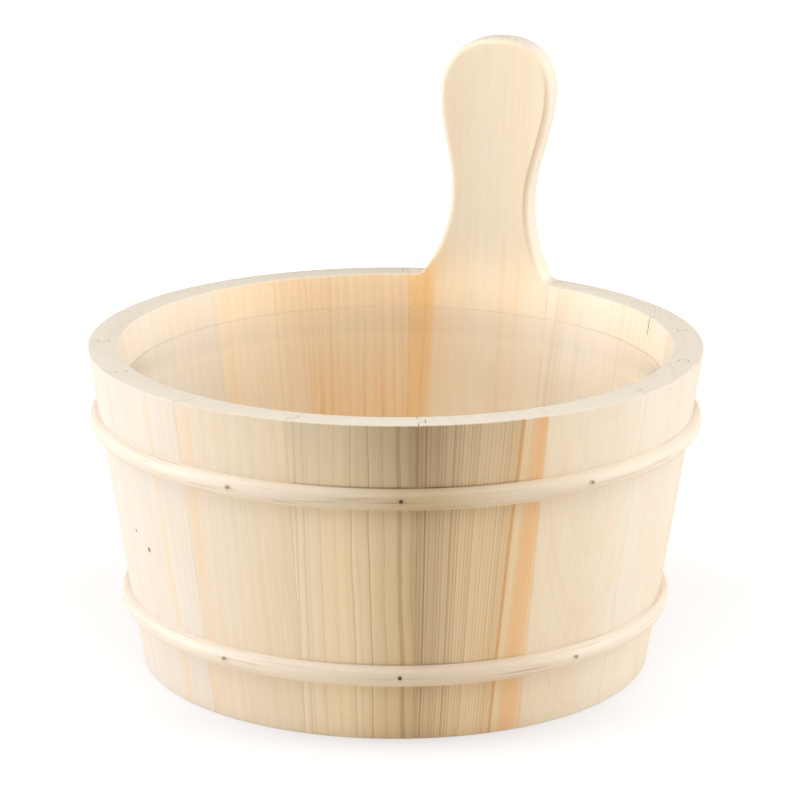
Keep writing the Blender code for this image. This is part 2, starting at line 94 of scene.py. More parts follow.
def colour(name, description, default):
    """A colour that the user can change."""
    return FloatVectorProperty(
        name=name, description=description, default=default, subtype="COLOR", min=0, max=1
    )


class BucketSizes(bpy.types.PropertyGroup):
    """Sizes of the bucket's pieces."""

    rim_radius: length("Rim radius", "Outside radius at the rim", 0.1332)
    foot_radius: length("Foot radius", "Outside radius at the foot", 0.1112)
    wall_thickness: length("Wall thickness", "Thickness of the staves", 0.0133)
    bulge: length("Bulge", "How far the wall swells out half way up", 0.0003)
    seam_gap: length("Seam gap", "Gap between two staves", 0.00004)
    arris: length("Arris", "Radius of the staves' sanded edges", 0.0001)
    rim_round: length("Rim rounding", "Radius of the rim's and the foot's edges", 0.0006)
    tongue_width: length("Tongue width", "Width of the staves' tongues", 0.004)
    tongue_length: length("Tongue length", "Length of the staves' tongues", 0.003)
    tongue_clearance: length("Tongue clearance", "Play of a tongue in its slot", 0.0003)
    grip_length: length("Grip length", "From the rim to the grip's top", 0.1108)
    grip_head_height: length("Head height", "Where the grip is widest", 0.0850)
    grip_waist_height: length("Waist height", "Where the grip is narrowest", 0.0380)
    grip_head: length("Head half width", "Half of the grip's widest width", 0.0269)
    grip_waist: length("Waist half width", "Half of the grip's narrowest width", 0.0192)
    grip_root: length("Root half width", "Half of the grip's width at the rim", 0.0300)
    grip_edge: length("Grip edge", "Radius of the grip's rounded edges", 0.0030)
    grip_fillet: length("Grip fillet", "Hollow where the grip meets the rim", 0.0025)
    hoop_width: length("Hoop width", "Width of the hoops", 0.0092)
    hoop_thickness: length("Hoop thickness", "How far the hoops stand out", 0.0045)
    upper_hoop_drop: length("Upper hoop drop", "From the rim down to the upper hoop's middle", 0.0319)
    lower_hoop_height: length("Lower hoop height", "From the foot up to the lower hoop's middle", 0.0298)
    liner_wall: length("Liner wall", "Thickness of the liner's wall", 0.0016)
    liner_floor: length("Liner floor", "Thickness of the liner's floor", 0.0020)
    liner_corner: length("Liner corner", "Outside radius of the liner's bottom edge", 0.006)
    collar_height: length("Collar height", "Height of the liner's collar", 0.012)
    collar_wall: length("Collar wall", "Thickness of the liner's collar", 0.0030)
    collar_step: length("Collar step", "How far the collar stands out from the liner's wall", 0.0012)


class BucketColours(bpy.types.PropertyGroup):
    """Colours of the bucket's finishes."""

    late_wood: colour("Late wood", "Lines of the growth rings in pale staves", srgb(216, 172, 118))
    end_grain: colour("End grain", "Sawn ends of the staves", srgb(213, 205, 193))
    end_line: colour("End grain lines", "Growth rings on the sawn ends", srgb(194, 183, 165))
    knot: colour("Knot", "Pin knots and streaks", srgb(122, 82, 48))
    boards: colour("Floor boards", "Wood of the floor", srgb(236, 214, 178))
    cane: colour("Hoop", "Peeled wood of the hoops", srgb(227, 214, 198))
    cane_streak: colour("Hoop streaks", "Darker streaks along the hoops", srgb(176, 148, 106))
    # Painted shade: darker tone of the hoops where they face the front, which gets little light
    cane_tan: colour("Hoop fronts", "Riper wood where the hoops face the front", srgb(192, 172, 138))
    # Painted light: pale tone of the inner faces below the rim, for the bright light inside the bucket
    inner_wood: colour("Inner faces", "Wood inside, kept fresh under the liner", srgb(255, 243, 224))
    steel: colour("Nails", "Steel of the nails", srgb(108, 88, 66))
    # Painted light: pale tone of the nails away from the front, which get more light
    filler: colour("Filled nails", "Wood dust that fills most of the nail heads", srgb(190, 172, 146))
    plastic: colour("Liner", "Milky plastic of the liner", srgb(255, 244, 232))
    floor: colour("Ground", "Ground that the bucket stands on", srgb(240, 233, 223))


def tint(name):
    """The bucket's colour of that name, as plain numbers."""
    return tuple(getattr(bpy.context.scene.bucket_colours, name))


# Surfaces

WELD = 1e-7  # points nearer than this become one
SMOOTH_ANGLE = radians(32)  # faces that meet at less than this are shaded as one
QUARTER_STEPS = 3
ARC_POINTS = 29
WALL_ROWS = 25


def wall_radius(height):
    """Outside radius of the straight taper at a height: foot radius plus the slope times the height."""
    sizes = bpy.context.scene.bucket_sizes
    return sizes.foot_radius + (sizes.rim_radius - sizes.foot_radius) / RIM_HEIGHT * height


def swell(height):
    """How far the wall stands out from the straight taper: half a sine wave between the foot and the rim."""
    sizes = bpy.context.scene.bucket_sizes
    return sizes.bulge * np.sin(pi * np.clip(height / RIM_HEIGHT, 0, 1))


def lean():
    """Angle by which the wall leans outwards, whose tangent is its slope."""
    sizes = bpy.context.scene.bucket_sizes
    return atan((sizes.rim_radius - sizes.foot_radius) / RIM_HEIGHT)


def quarter_rows(radius, steps):
    """Rise and inset along a quarter circle: radius times the sine, and radius times one minus the cosine."""
    turn = np.linspace(0, pi / 2, steps + 1)
    return radius * np.sin(turn), radius * (1 - np.cos(turn))


def shell_faces(rows, columns, first):
    """Quads between neighbouring rings of points, and one flat face over the first ring and over the last."""
    row, column = np.meshgrid(np.arange(rows - 1), np.arange(columns), indexing="ij")
    here, beside = row * columns + column, row * columns + (column + 1) % columns
    quads = np.stack([here, beside, beside + columns, here + columns], axis=-1).reshape(-1, 4) + first
    ends = [first + np.arange(columns)[::-1], first + (rows - 1) * columns + np.arange(columns)]
    return quads, ends


def turned_out(rings):
    """The rings in the order that makes their faces point outwards: the shell's signed volume tells it."""
    points = rings[..., :3] - rings[..., :3].mean(axis=(0, 1))
    here, beside = points[:-1], np.roll(points[:-1], -1, axis=1)
    above, across = points[1:], np.roll(points[1:], -1, axis=1)
    volume = np.einsum("ijk,ijk->", here, np.cross(beside, across) + np.cross(across, above))
    return rings if volume > 0 else rings[:, ::-1]


def put_object(name, data):
    """A new object in the scene."""
    item = bpy.data.objects.new(name, data)
    bpy.context.scene.collection.objects.link(item)
    return item


def put_piece(name, shells, material, nodes, body, places=None, welded=False):
    """Make one piece of closed shells, each an array of rings, and put it in the place of its nodes.

    places, if given, holds for each shell an array of the same shape, kept as the points' attribute "place".
    A welded piece has points that fall together, and they become one.
    """
    if places is not None:
        shells = [np.concatenate(pair, axis=-1) for pair in zip(shells, places)]
    points, faces = [], []
    first = 0
    for rings in map(turned_out, shells):
        rows, columns = rings.shape[:2]
        quads, ends = shell_faces(rows, columns, first)
        faces += quads.tolist() + [end.tolist() for end in ends]
        points.append(rings.reshape(rows * columns, -1))
        first += rows * columns
    points = np.concatenate(points)
    mesh = bpy.data.meshes.new(name)
    mesh.from_pydata(points[:, :3], [], faces)
    if places is not None:
        place = mesh.attributes.new("place", "FLOAT_VECTOR", "POINT")
        place.data.foreach_set("vector", points[:, 3:].astype(np.float32).ravel())
    if welded:
        form = bmesh.new()
        form.from_mesh(mesh)
        bmesh.ops.remove_doubles(form, verts=form.verts, dist=WELD)
        form.to_mesh(mesh)
        form.free()
    mesh.shade_smooth()
    mesh.set_sharp_from_angle(angle=SMOOTH_ANGLE)
    mesh.materials.append(material)
    piece = put_object(name, mesh)
    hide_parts(*nodes)
    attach(piece, body)


def stave_section(start, end):
    """The loop round a stave between two seams, as angle, step along the ring, depth and two kinds of inset.

    It runs along the outer arc, down the seam with the tongue, back along the inner arc and up the seam with
    the slot. The last two columns say how the loop draws in towards the sawn ends: into the depth, and along
    the ring.
    """
    sizes = bpy.context.scene.bucket_sizes
    arris, gap, thick = sizes.arris, sizes.seam_gap / 2, sizes.wall_thickness
    half_tongue = sizes.tongue_width / 2
    bend_rise, bend_inset = quarter_rows(arris, QUARTER_STEPS)

    def arc(depth, inward):
        """A face from seam to seam, whose steps keep the gap and the arris clear of both seams."""
        share = np.linspace(0, 1, ARC_POINTS)
        flat = np.ones_like(share)
        angles, steps = start + (end - start) * share, (gap + arris) * (1 - 2 * share)
        return np.stack([angles, steps, depth * flat, inward * flat, 0 * flat], axis=1)

    def corner(angle, side, depth, inward):
        """A quarter circle from a face into a seam; side is 1 at the start seam and -1 at the end seam."""
        steps, depths = side * (gap + arris - bend_rise), depth + inward * bend_inset
        flat = np.ones_like(steps)
        return np.stack([angle * flat, steps, depths, inward * flat, side * flat], axis=1)

    def key(angle, near, far, half):
        """A tongue or a slot: a rectangle between two steps, half its width to each side of the middle."""
        corners = ((near, -half), (far, -half), (far, half), (near, half))
        return np.array([[angle, step, thick / 2 + aside, 0, 0] for step, aside in corners])

    tongue = key(end, -gap, sizes.tongue_length - gap, half_tongue)
    slot_end = sizes.tongue_length + sizes.tongue_clearance
    slot = key(start, gap, slot_end, half_tongue + sizes.tongue_clearance)
    return np.concatenate(
        [
            arc(0.0, 1)[1:-1],
            corner(end, -1, 0.0, 1),
            tongue,
            corner(end, -1, thick, -1)[::-1],
            arc(thick, -1)[::-1][1:-1],
            corner(start, 1, thick, -1),
            slot[::-1],
            corner(start, 1, 0.0, 1)[::-1],
        ]
    )


def stave_rings(start, end):
    """The section's loop at each height from the foot to the rim.

    A point's radius is the wall's radius at that height less its depth, and its outer face also swells. Near
    both ends the loop draws in along a quarter circle.
    """
    sizes = bpy.context.scene.bucket_sizes
    angle, step, depth, inward, sideways = stave_section(start, end).T
    rise, inset = quarter_rows(sizes.rim_round, QUARTER_STEPS)
    low, high = sizes.rim_round, RIM_HEIGHT - sizes.rim_round
    straight = np.linspace(low, high, WALL_ROWS)[1:-1]
    height = np.concatenate([(low - rise)[::-1], straight, high + rise])[:, None]
    drawn = np.concatenate([inset[::-1], 0 * straight, inset])[:, None]
    radius = wall_radius(height) + (inward > 0) * swell(height) - depth - drawn * inward
    along = step + drawn * sideways
    x = radius * np.cos(angle) - along * np.sin(angle)
    y = radius * np.sin(angle) + along * np.cos(angle) + AXIS_Y
    return np.stack([x, y, np.broadcast_to(height, x.shape)], axis=-1)


GRIP_TENON = 0.003  # how far the grip's skin runs down over the wall
GRIP_PROUD = 0.00003  # how far it stands out from the wall there
GRIP_SETBACK = 0.00015  # how far the grip's faces draw in up to its top
GRIP_EDGE_FADE = 0.015  # height above the rim at which the grip's edges have their full radius
GRIP_ROOT_EDGE = 0.0006  # radius of the grip's edges at the rim
GRIP_HEAD_SQUARENESS = 2.3  # exponent of the head's outline: 2 is part of an ellipse
GRIP_ROWS = 18
GRIP_COLUMNS = 25
GRIP_BEND_STEPS = 7
FILLET_ROWS = 8
ARRIS_PLACE = 0.78  # where on the rounded edge the dark line runs, as a share of its inset
ARRIS_REACH = 0.2  # half the line's width, in the same share


def smooth(share):
    """A smooth step: three times the square less twice the cube."""
    return 3 * share**2 - 2 * share**3


def grip_outline():
    """Half widths and heights of the grip's edge, from the rim up to the top of the head.

    The flare is a parabola from the root in to the waist, with a small round fillet at the rim. The swell is
    a smooth step from the waist out to the head, and the head is a quarter of a superellipse.
    """
    sizes = bpy.context.scene.bucket_sizes
    fillet = sizes.grip_fillet * np.linspace(0, 1, FILLET_ROWS + 1)[:-1] ** 2
    low = np.concatenate([fillet, np.linspace(sizes.grip_fillet, sizes.grip_waist_height, GRIP_ROWS)])
    hollow = np.clip(1 - low / sizes.grip_fillet, 0, 1)
    flare = (sizes.grip_root - sizes.grip_waist) * (1 - low / sizes.grip_waist_height) ** 2
    low_width = sizes.grip_waist + flare + sizes.grip_fillet * (1 - np.sqrt(1 - hollow**2))
    share = np.linspace(0, 1, GRIP_ROWS)[1:]
    mid = sizes.grip_waist_height + (sizes.grip_head_height - sizes.grip_waist_height) * share
    mid_width = sizes.grip_waist + (sizes.grip_head - sizes.grip_waist) * smooth(share)
    turn = np.linspace(0, pi / 2, 2 * GRIP_ROWS)[1:]
    power = 2 / GRIP_HEAD_SQUARENESS
    head = sizes.grip_head_height + (sizes.grip_length - sizes.grip_head_height) * np.sin(turn) ** power
    head_width = sizes.grip_head * np.clip(np.cos(turn), 0, 1) ** power
    head_width[-1] = 0.0
    return np.concatenate([low_width, mid_width, head_width]), np.concatenate([low, mid, head])


def grip_rings():
    """Rings round the grip, one for each point of its outline, with the tenon's ring first.

    A ring runs across the outer face, round the edge, back across the inner face and round the other edge. On
    the rounded edges it is the outline moved in by a quarter circle while it goes from the face into the
    thickness. The second array that comes back holds how near each point lies to the dark line along the
    inner face's edge, and how high its ring stands above the rim.
    """
    sizes = bpy.context.scene.bucket_sizes
    width, height = grip_outline()
    along_width, along_height = np.gradient(width), np.gradient(height)
    along_width[-1], along_height[-1] = -1.0, 0.0
    run = np.hypot(along_width, along_height)
    grown = np.clip(height / GRIP_EDGE_FADE, 0, 1)
    edge = GRIP_ROOT_EDGE + (sizes.grip_edge - GRIP_ROOT_EDGE) * smooth(grown)
    rows = (width, height, along_height / run, -along_width / run, edge)
    tenon = (width[0], -GRIP_TENON, 1.0, 0.0, edge[0])
    rows = [np.concatenate([[first], row])[:, None] for first, row in zip(tenon, rows)]
    width, height, normal_width, normal_height, edge = rows

    across = np.linspace(-1, 1, GRIP_COLUMNS)
    bend = np.linspace(0, pi / 2, GRIP_BEND_STEPS + 1)[1:]
    flat = np.ones_like(across)
    inward, deeper, rounded = 1 - np.sin(bend), 1 - np.cos(bend), np.ones_like(bend)
    side = np.concatenate([across, rounded, rounded, -across, -rounded, -rounded])
    inset = np.concatenate([flat, inward, inward[::-1], flat, inward, inward[::-1]])
    sunk = np.concatenate([0 * flat, deeper, deeper[::-1], 0 * flat, deeper, deeper[::-1]])
    count, half = len(side), len(side) // 2
    inner = (np.arange(count) >= half - len(bend)) & (np.arange(count) < count - len(bend))

    moved = edge * inset
    x = side * np.maximum(width - moved * normal_width, 0.0)
    up = height - moved * normal_height
    depth = edge * sunk - GRIP_PROUD + GRIP_SETBACK * np.clip(height / sizes.grip_length, 0, 1)
    z = RIM_HEIGHT + up * cos(lean())
    inner_radius = wall_radius(z) - sizes.wall_thickness + depth
    radius = np.where(inner, inner_radius, wall_radius(z) + swell(z) - depth)
    y = np.sqrt(radius**2 - x**2) + AXIS_Y
    line = np.clip(1 - np.abs(inset - ARRIS_PLACE) / ARRIS_REACH, 0, 1)
    near = np.where(inner & (side == 1), line, 0.0) * (height > 0)
    place = np.stack([near, np.broadcast_to(height, near.shape), 0 * near], axis=-1)
    return np.stack([x, y, z], axis=-1), place


SCARF_ANGLE = radians(12)
SCARF_GAP = 0.0002
SCARF_TIP = 0.03  # thickness of the hoop's two thin ends, as a share of the hoop's
HOOP_ROWS = 420
HOOP_COLUMNS = 33
HOOP_BACK_COLUMNS = 7
HOOP_FULLNESS = 2.2  # exponent of the half-round section: 2 is half an ellipse


def hoop_heights():
    """Heights of the upper and the lower hoop's middles above the foot."""
    sizes = bpy.context.scene.bucket_sizes
    return RIM_HEIGHT - sizes.upper_hoop_drop, sizes.lower_hoop_height


def hoop_rings(middle_height):
    """The section carried once round the wall and on over its own beginning, where the two ends are scarfed.

    Across the section the height above the seat is the thickness times (1 - |s| ** n) ** (1 / n). Over the
    scarf the first end is cut off by a level that rises from nothing, and the last end sits on that level.
    """
    sizes = bpy.context.scene.bucket_sizes
    thick, half = sizes.hoop_thickness, sizes.hoop_width / 2
    seat = wall_radius(middle_height)
    lap = thick / np.tan(SCARF_ANGLE) / seat
    turned = np.linspace(0, tau + lap, HOOP_ROWS)[:, None]
    angle = HANDLE_ANGLE - lap / 2 + turned
    cap = thick * np.clip(turned / lap, SCARF_TIP, 1.0)
    base = np.clip(thick * (turned - tau) / lap + SCARF_GAP, 0.0, (1 - SCARF_TIP) * thick)
    widest = half * (1 - (base / thick) ** HOOP_FULLNESS) ** (1 / HOOP_FULLNESS)
    across = widest * np.sin(np.linspace(-pi / 2, pi / 2, HOOP_COLUMNS))[None, :]
    crown = thick * np.clip(1 - np.abs(across / half) ** HOOP_FULLNESS, 0, None) ** (1 / HOOP_FULLNESS)
    crown = np.maximum(np.minimum(crown, cap), base)
    back = widest * np.linspace(1, -1, HOOP_BACK_COLUMNS)[None, 1:-1]
    across = np.concatenate([across, back], axis=1)
    out = np.concatenate([crown, base * np.ones_like(back)], axis=1)
    radius = seat + across * sin(lean()) + out * cos(lean())
    z = middle_height + across * cos(lean()) - out * sin(lean())
    x, y = radius * np.cos(angle), radius * np.sin(angle) + AXIS_Y
    place = np.stack([seat * turned * np.ones_like(x), across, out], axis=-1)
    return np.stack([x, y, z], axis=-1), place


LINER_SIDES = 288
LINER_WAVER = 0.00012  # how far the collar is out of round
LINER_WAVES = ((5, 0.6, 1.0), (9, 2.1, 0.8), (17, 4.0, 0.6))  # waves round it, their start and their share
LINER_MIDDLE = 0.003  # radius of the flat in the middle of the liner's floor
LINER_SKIN = 0.00015  # how far the liner stays inside its solid's reach
# Points along each stretch of the liner's profile
FLOOR_POINTS = 12
CORNER_POINTS = 9
CLIMB_POINTS = 14
SHOULDER_POINTS = 5
LIP_POINTS = 13
DOWN_POINTS = 6


def liner_rings():
    """The liner's profile turned round the axis, with a collar that wavers a little.

    The profile runs from the middle of the floor up the inside, over the collar and down the outside. Its
    radius is the wall's bore less the gaps and thicknesses. The waver is a sum of three cosines of the angle,
    and fades out below the collar.
    """
    sizes = bpy.context.scene.bucket_sizes
    bottom, top = LINER_BOX[0][2], LINER_BOX[1][2]
    collar_foot = top - sizes.collar_height
    floor = bottom + sizes.liner_floor
    side = LINER_BOX[1][0] - (wall_radius(top) - sizes.wall_thickness)

    def outside(height):
        """The collar's outer radius at a height, which leans with the wall."""
        return wall_radius(height) - sizes.wall_thickness + side - LINER_SKIN

    def inside(height):
        """The inner radius at a height below the collar."""
        return outside(height) - sizes.collar_step - sizes.liner_wall

    inner_corner = sizes.liner_corner - sizes.liner_wall
    turn = np.linspace(0, pi / 2, CORNER_POINTS)
    reach = inside(floor + inner_corner) - inner_corner
    outer_reach = outside(bottom + sizes.liner_corner) - sizes.collar_step - sizes.liner_corner
    edge = sizes.collar_wall / 2
    climb = np.linspace(floor + inner_corner, collar_foot, CLIMB_POINTS)[1:]
    ease = np.linspace(0, 1, SHOULDER_POINTS)[1:]
    lip = np.linspace(pi, 0, LIP_POINTS)
    down = np.linspace(top - edge, collar_foot, DOWN_POINTS)[1:]
    widening = outside(top) - sizes.collar_wall - inside(collar_foot)
    level = np.zeros(FLOOR_POINTS - 1)
    parts = [
        (np.linspace(LINER_MIDDLE, reach, FLOOR_POINTS)[:-1], floor + level),
        (reach + inner_corner * np.sin(turn), floor + inner_corner * (1 - np.cos(turn))),
        (inside(climb), climb),
        (inside(collar_foot) + widening * ease, collar_foot + ease * sizes.collar_step),
        (outside(top) - edge + edge * np.cos(lip), top - edge + edge * np.sin(lip)),
        (outside(down), down),
        (outside(climb[::-1]) - sizes.collar_step, climb[::-1]),
        (outer_reach + sizes.liner_corner * np.cos(turn), bottom + sizes.liner_corner * (1 - np.sin(turn))),
        (np.linspace(outer_reach, LINER_MIDDLE, FLOOR_POINTS)[1:], bottom + level),
    ]
    radius, height = [np.concatenate(column)[:, None] for column in zip(*parts)]
    angle = np.linspace(0, tau, LINER_SIDES, endpoint=False)[None, :]
    waver = sum(share * np.cos(count * angle + shift) for count, shift, share in LINER_WAVES)
    risen = np.clip((height - bottom) / (top - bottom), 0, 1) ** 4
    radius = radius + LINER_WAVER * waver / sum(share for _, _, share in LINER_WAVES) * risen
    x, y = radius * np.cos(angle), radius * np.sin(angle) + AXIS_Y
    return np.stack([x, y, height + 0 * x], axis=-1)


# Finishes

ORIGIN = (0.0, 0.0, 0.0)
WHITE = (1.0, 1.0, 1.0)
MILLIMETRES = (1000.0, 1000.0, 1000.0)
PLAIN_LIGHT = (1.0, 1.0, 1.0, 1.0)
PLAIN_DARK = (0.5, 0.4, 0.3, 1.0)
SOCKETS = {1: "NodeSocketFloat", 3: "NodeSocketVector", 4: "NodeSocketColor"}  # by size


class Tree:
    """Adds nodes to one tree: a value that is a socket is linked, and any other is set."""

    def __init__(self, tree):
        self.tree = tree

    def feed(self, socket, value):
        """Link or set one socket; a colour of three numbers gets its fourth."""
        if isinstance(value, bpy.types.NodeSocket):
            self.tree.links.new(value, socket)
        elif np.size(socket.default_value) == 4 and len(value) == 3:
            socket.default_value = (*value, 1.0)
        else:
            socket.default_value = value

    def add(self, kind, values=None, **settings):
        """A new shader node with its settings and then its inputs."""
        node = self.tree.nodes.new("ShaderNode" + kind)
        for setting, value in settings.items():
            setattr(node, setting, value)
        for socket, value in (values or {}).items():
            self.feed(node.inputs[socket], value)
        return node

    def group(self, build, values):
        """The outputs of a node group, which its function builds the first time it is asked for."""
        made = bpy.data.node_groups.get(build.__name__) or build()
        return self.add("Group", values, node_tree=made).outputs

    def math(self, operation, first, second=0.0, third=0.0):
        """One step of arithmetic."""
        return self.add("Math", {0: first, 1: second, 2: third}, operation=operation).outputs[0]

    def times(self, first, second):
        """The product of two values."""
        return self.math("MULTIPLY", first, second)

    def plus(self, value, factor, base):
        """The base plus the value times a factor."""
        return self.math("MULTIPLY_ADD", value, factor, base)

    def sway(self, noise, amount, base=1.0):
        """The base plus an amount times how far the noise lies above its middle."""
        return self.plus(self.math("SUBTRACT", noise, 0.5), amount, base)

    def vector(self, operation, first, second=ORIGIN):
        """One step of vector arithmetic."""
        node = self.add("VectorMath", {0: first, 1: second}, operation=operation)
        return node.outputs["Value" if operation in ("LENGTH", "DOT_PRODUCT") else "Vector"]

    def split(self, vector):
        """The three parts of a vector."""
        return self.add("SeparateXYZ", {0: vector}).outputs

    def between(self, value, low, high, new_low=0.0, new_high=1.0):
        """The value carried from one range to another, smoothly and kept inside it."""
        values = {"Value": value, "From Min": low, "From Max": high, "To Min": new_low, "To Max": new_high}
        return self.add("MapRange", values, interpolation_type="SMOOTHSTEP").outputs[0]

    def mix(self, factor, first, second, blend="MIX"):
        """The first colour with a share of the second."""
        values = {0: factor, 6: first, 7: second}
        return self.add("Mix", values, data_type="RGBA", blend_type=blend).outputs[2]

    def dyed(self, first, second):
        """One colour times another."""
        return self.mix(1.0, first, second, "MULTIPLY")

    def shaded(self, shade, value):
        """A colour times a value."""
        return self.dyed(shade, self.add("CombineColor", {0: value, 1: value, 2: value}).outputs[0])

    def noise(self, vector, scale=1.0, detail=2.0, roughness=0.5):
        """Noise at a vector."""
        values = {"Vector": vector, "Scale": scale, "Detail": detail, "Roughness": roughness}
        return self.add("TexNoise", values).outputs["Fac"]

    def grain(self, vector, scale, seed=0.0, detail=2.0, roughness=0.5):
        """Noise at the vector times a scale for each axis, moved along by a seed."""
        shift = self.add("CombineXYZ", {0: seed, 1: seed, 2: seed}).outputs[0]
        place = self.vector("ADD", self.vector("MULTIPLY", vector, scale), shift)
        return self.noise(place, 1.0, detail, roughness)

    def ramp(self, factor, stops):
        """A colour ramp through (place, colour) stops."""
        node = self.add("ValToRGB", {"Fac": factor})
        elements = node.color_ramp.elements
        while len(elements) > 1:
            elements.remove(elements[-1])
        elements[0].position = stops[0][0]
        for place, _ in stops[1:]:
            elements.new(place)
        for element, (_, shade) in zip(elements, stops):
            element.color = (*shade, 1.0)
        return node.outputs["Color"]

    def curve(self, factor, stops):
        """A value that runs straight from one (place, value) stop to the next."""
        return self.split(self.ramp(factor, [(place, (value,) * 3) for place, value in stops]))[0]

    def own(self):
        """The object's own coordinates."""
        return self.add("TexCoord").outputs["Object"]

    def laid(self, middle, turn):
        """The object's own coordinates, counted from a middle and turned to lie along a piece."""
        values = {"Vector": self.own(), "Location": middle, "Rotation": turn}
        return self.add("Mapping", values, vector_type="TEXTURE").outputs["Vector"]

    def place(self):
        """The place that the piece's points keep."""
        return self.add("Attribute", attribute_name="place").outputs["Vector"]


def new_group(name, inputs, outputs):
    """A shader node group: inputs hold their defaults, and an output is a colour if it is called Colour."""
    group = bpy.data.node_groups.new(name, "ShaderNodeTree")
    for label, default in inputs.items():
        socket = group.interface.new_socket(label, in_out="INPUT", socket_type=SOCKETS[np.size(default)])
        socket.default_value = default
    for label in outputs:
        kind = SOCKETS[4] if label == "Colour" else SOCKETS[1]
        group.interface.new_socket(label, in_out="OUTPUT", socket_type=kind)
    return Tree(group), group.nodes.new("NodeGroupInput").outputs, group.nodes.new("NodeGroupOutput").inputs


# Darkness of the wood from one ring's start to its end
RING_PROFILE = ((0.0, 0.0), (0.45, 0.06), (0.78, 0.36), (0.9, 1.0), (0.955, 0.95), (1.0, 0.0))
RING_UNEVENNESS = 1.5  # ring widths over which noise along the radius shifts the rings
BEND_REACH = 2.0  # millimetres over which slow noise bends them
QUICK_SHARE = 0.45  # what quicker noise adds to that, as a share


def growth_rings():
    """Node group: the growth rings that a stave is cut from.

    Its vector runs across the stave, into its depth and up it, in metres. The rings are cylinders round a
    pith that lies beside or behind the stave. The distance from the pith, bent by slow noise, is divided by
    the ring width; the fraction left over darkens slowly and ends in a sharp line of late wood.
    """
    inputs = {"Vector": ORIGIN, "Pith Across": -100.0, "Pith Depth": 100.0, "Ring Width": 3.0, "Fan": 0.0,
              "Slant": 0.0, "Tilt": 0.0, "Waviness": 1.0, "Seed": 0.0}
    tree, given, made = new_group("growth_rings", inputs, ["Line", "Across"])
    seed, pith_across, pith_depth = given["Seed"], given["Pith Across"], given["Pith Depth"]
    place = tree.vector("MULTIPLY", given["Vector"], MILLIMETRES)
    x, y, z = tree.split(place)
    fanned = tree.times(x, tree.math("SUBTRACT", 1.0, tree.times(given["Fan"], z)))
    slow = tree.grain(place, (0.03, 0.03, 0.011), seed, 1.0)
    quick = tree.grain(place, (0.11, 0.11, 0.045), seed)
    wave = tree.sway(quick, QUICK_SHARE, tree.math("SUBTRACT", slow, 0.5))
    bend = tree.times(tree.times(wave, BEND_REACH), given["Waviness"])
    across = tree.math("ADD", tree.plus(given["Slant"], z, fanned), bend)
    aside = tree.math("SUBTRACT", across, pith_across)
    below = tree.math("SUBTRACT", tree.plus(given["Tilt"], z, y), pith_depth)

    def far(one, other):
        """Length of a line with these two legs."""
        return tree.math("SQRT", tree.math("ADD", tree.times(one, one), tree.times(other, other)))

    radius = tree.math("SUBTRACT", far(aside, below), far(pith_across, pith_depth))
    turns = tree.math("DIVIDE", radius, given["Ring Width"])
    pace = tree.add("TexNoise", {"W": tree.plus(turns, 0.37, seed)}, noise_dimensions="1D").outputs["Fac"]
    uneven = tree.times(tree.math("SUBTRACT", pace, 0.5), RING_UNEVENNESS)
    phase = tree.math("ADD", turns, uneven)
    number = tree.math("ADD", tree.math("FLOOR", phase), seed)
    chance = tree.add("TexWhiteNoise", {"W": number}, noise_dimensions="1D").outputs["Value"]
    late = tree.curve(tree.math("FRACT", phase), RING_PROFILE)
    tree.feed(made["Line"], tree.times(late, tree.plus(chance, 0.5, 0.5)))
    tree.feed(made["Across"], across)
    return tree.tree


WARM = srgb(255, 243, 226)


def wood_surface():
    """Node group: colour, roughness and relief of planed wood from its growth rings.

    Fine fibres are noise drawn out along the stave, resin canals are short dark dashes in it, and slow noise
    makes the tone uneven. On sawn ends the colour turns to the end grain's, with its own lines and pores.
    """
    inputs = {"Vector": ORIGIN, "Light": PLAIN_LIGHT, "Dark": PLAIN_DARK, "End Light": PLAIN_LIGHT,
              "End Dark": PLAIN_DARK, "Line": 0.0, "Strength": 1.0, "End Grain": 0.0, "Seed": 0.0}
    tree, given, made = new_group("wood_surface", inputs, ["Colour", "Roughness", "Height"])
    seed, end_grain = given["Seed"], given["End Grain"]
    place = tree.vector("MULTIPLY", given["Vector"], MILLIMETRES)
    fibre = tree.grain(place, (1.1, 1.1, 0.02), seed, 3.0, 0.6)
    fine = tree.grain(place, (4.5, 4.5, 0.07), seed, 2.0, 0.6)
    tone = tree.grain(place, (0.06, 0.06, 0.012), seed)
    canal = tree.grain(place, (2.6, 2.6, 0.2), seed, 1.0)
    pore = tree.grain(place, (2.4, 2.4, 0.4), seed, 3.0, 0.7)
    line = tree.times(given["Line"], given["Strength"])
    face = tree.mix(line, given["Light"], given["Dark"])
    fibres = tree.sway(fine, 0.07, tree.sway(fibre, 0.13))
    face = tree.shaded(face, tree.plus(tree.between(canal, 0.70, 0.78), -0.08, fibres))
    warmth = tree.times(tree.between(tone, 0.3, 0.7), 0.35)
    face = tree.mix(warmth, face, tree.dyed(face, WARM))
    end = tree.mix(tree.times(given["Line"], 0.5), given["End Light"], given["End Dark"])
    end = tree.shaded(end, tree.sway(pore, 0.16))
    tree.feed(made["Colour"], tree.mix(end_grain, face, end))
    tree.feed(made["Roughness"], tree.plus(end_grain, 0.15, tree.plus(fibre, 0.16, 0.50)))
    height = tree.plus(line, 0.7, tree.plus(fine, 0.5, fibre))
    tree.feed(made["Height"], tree.plus(tree.times(pore, end_grain), 0.8, height))
    return tree.tree


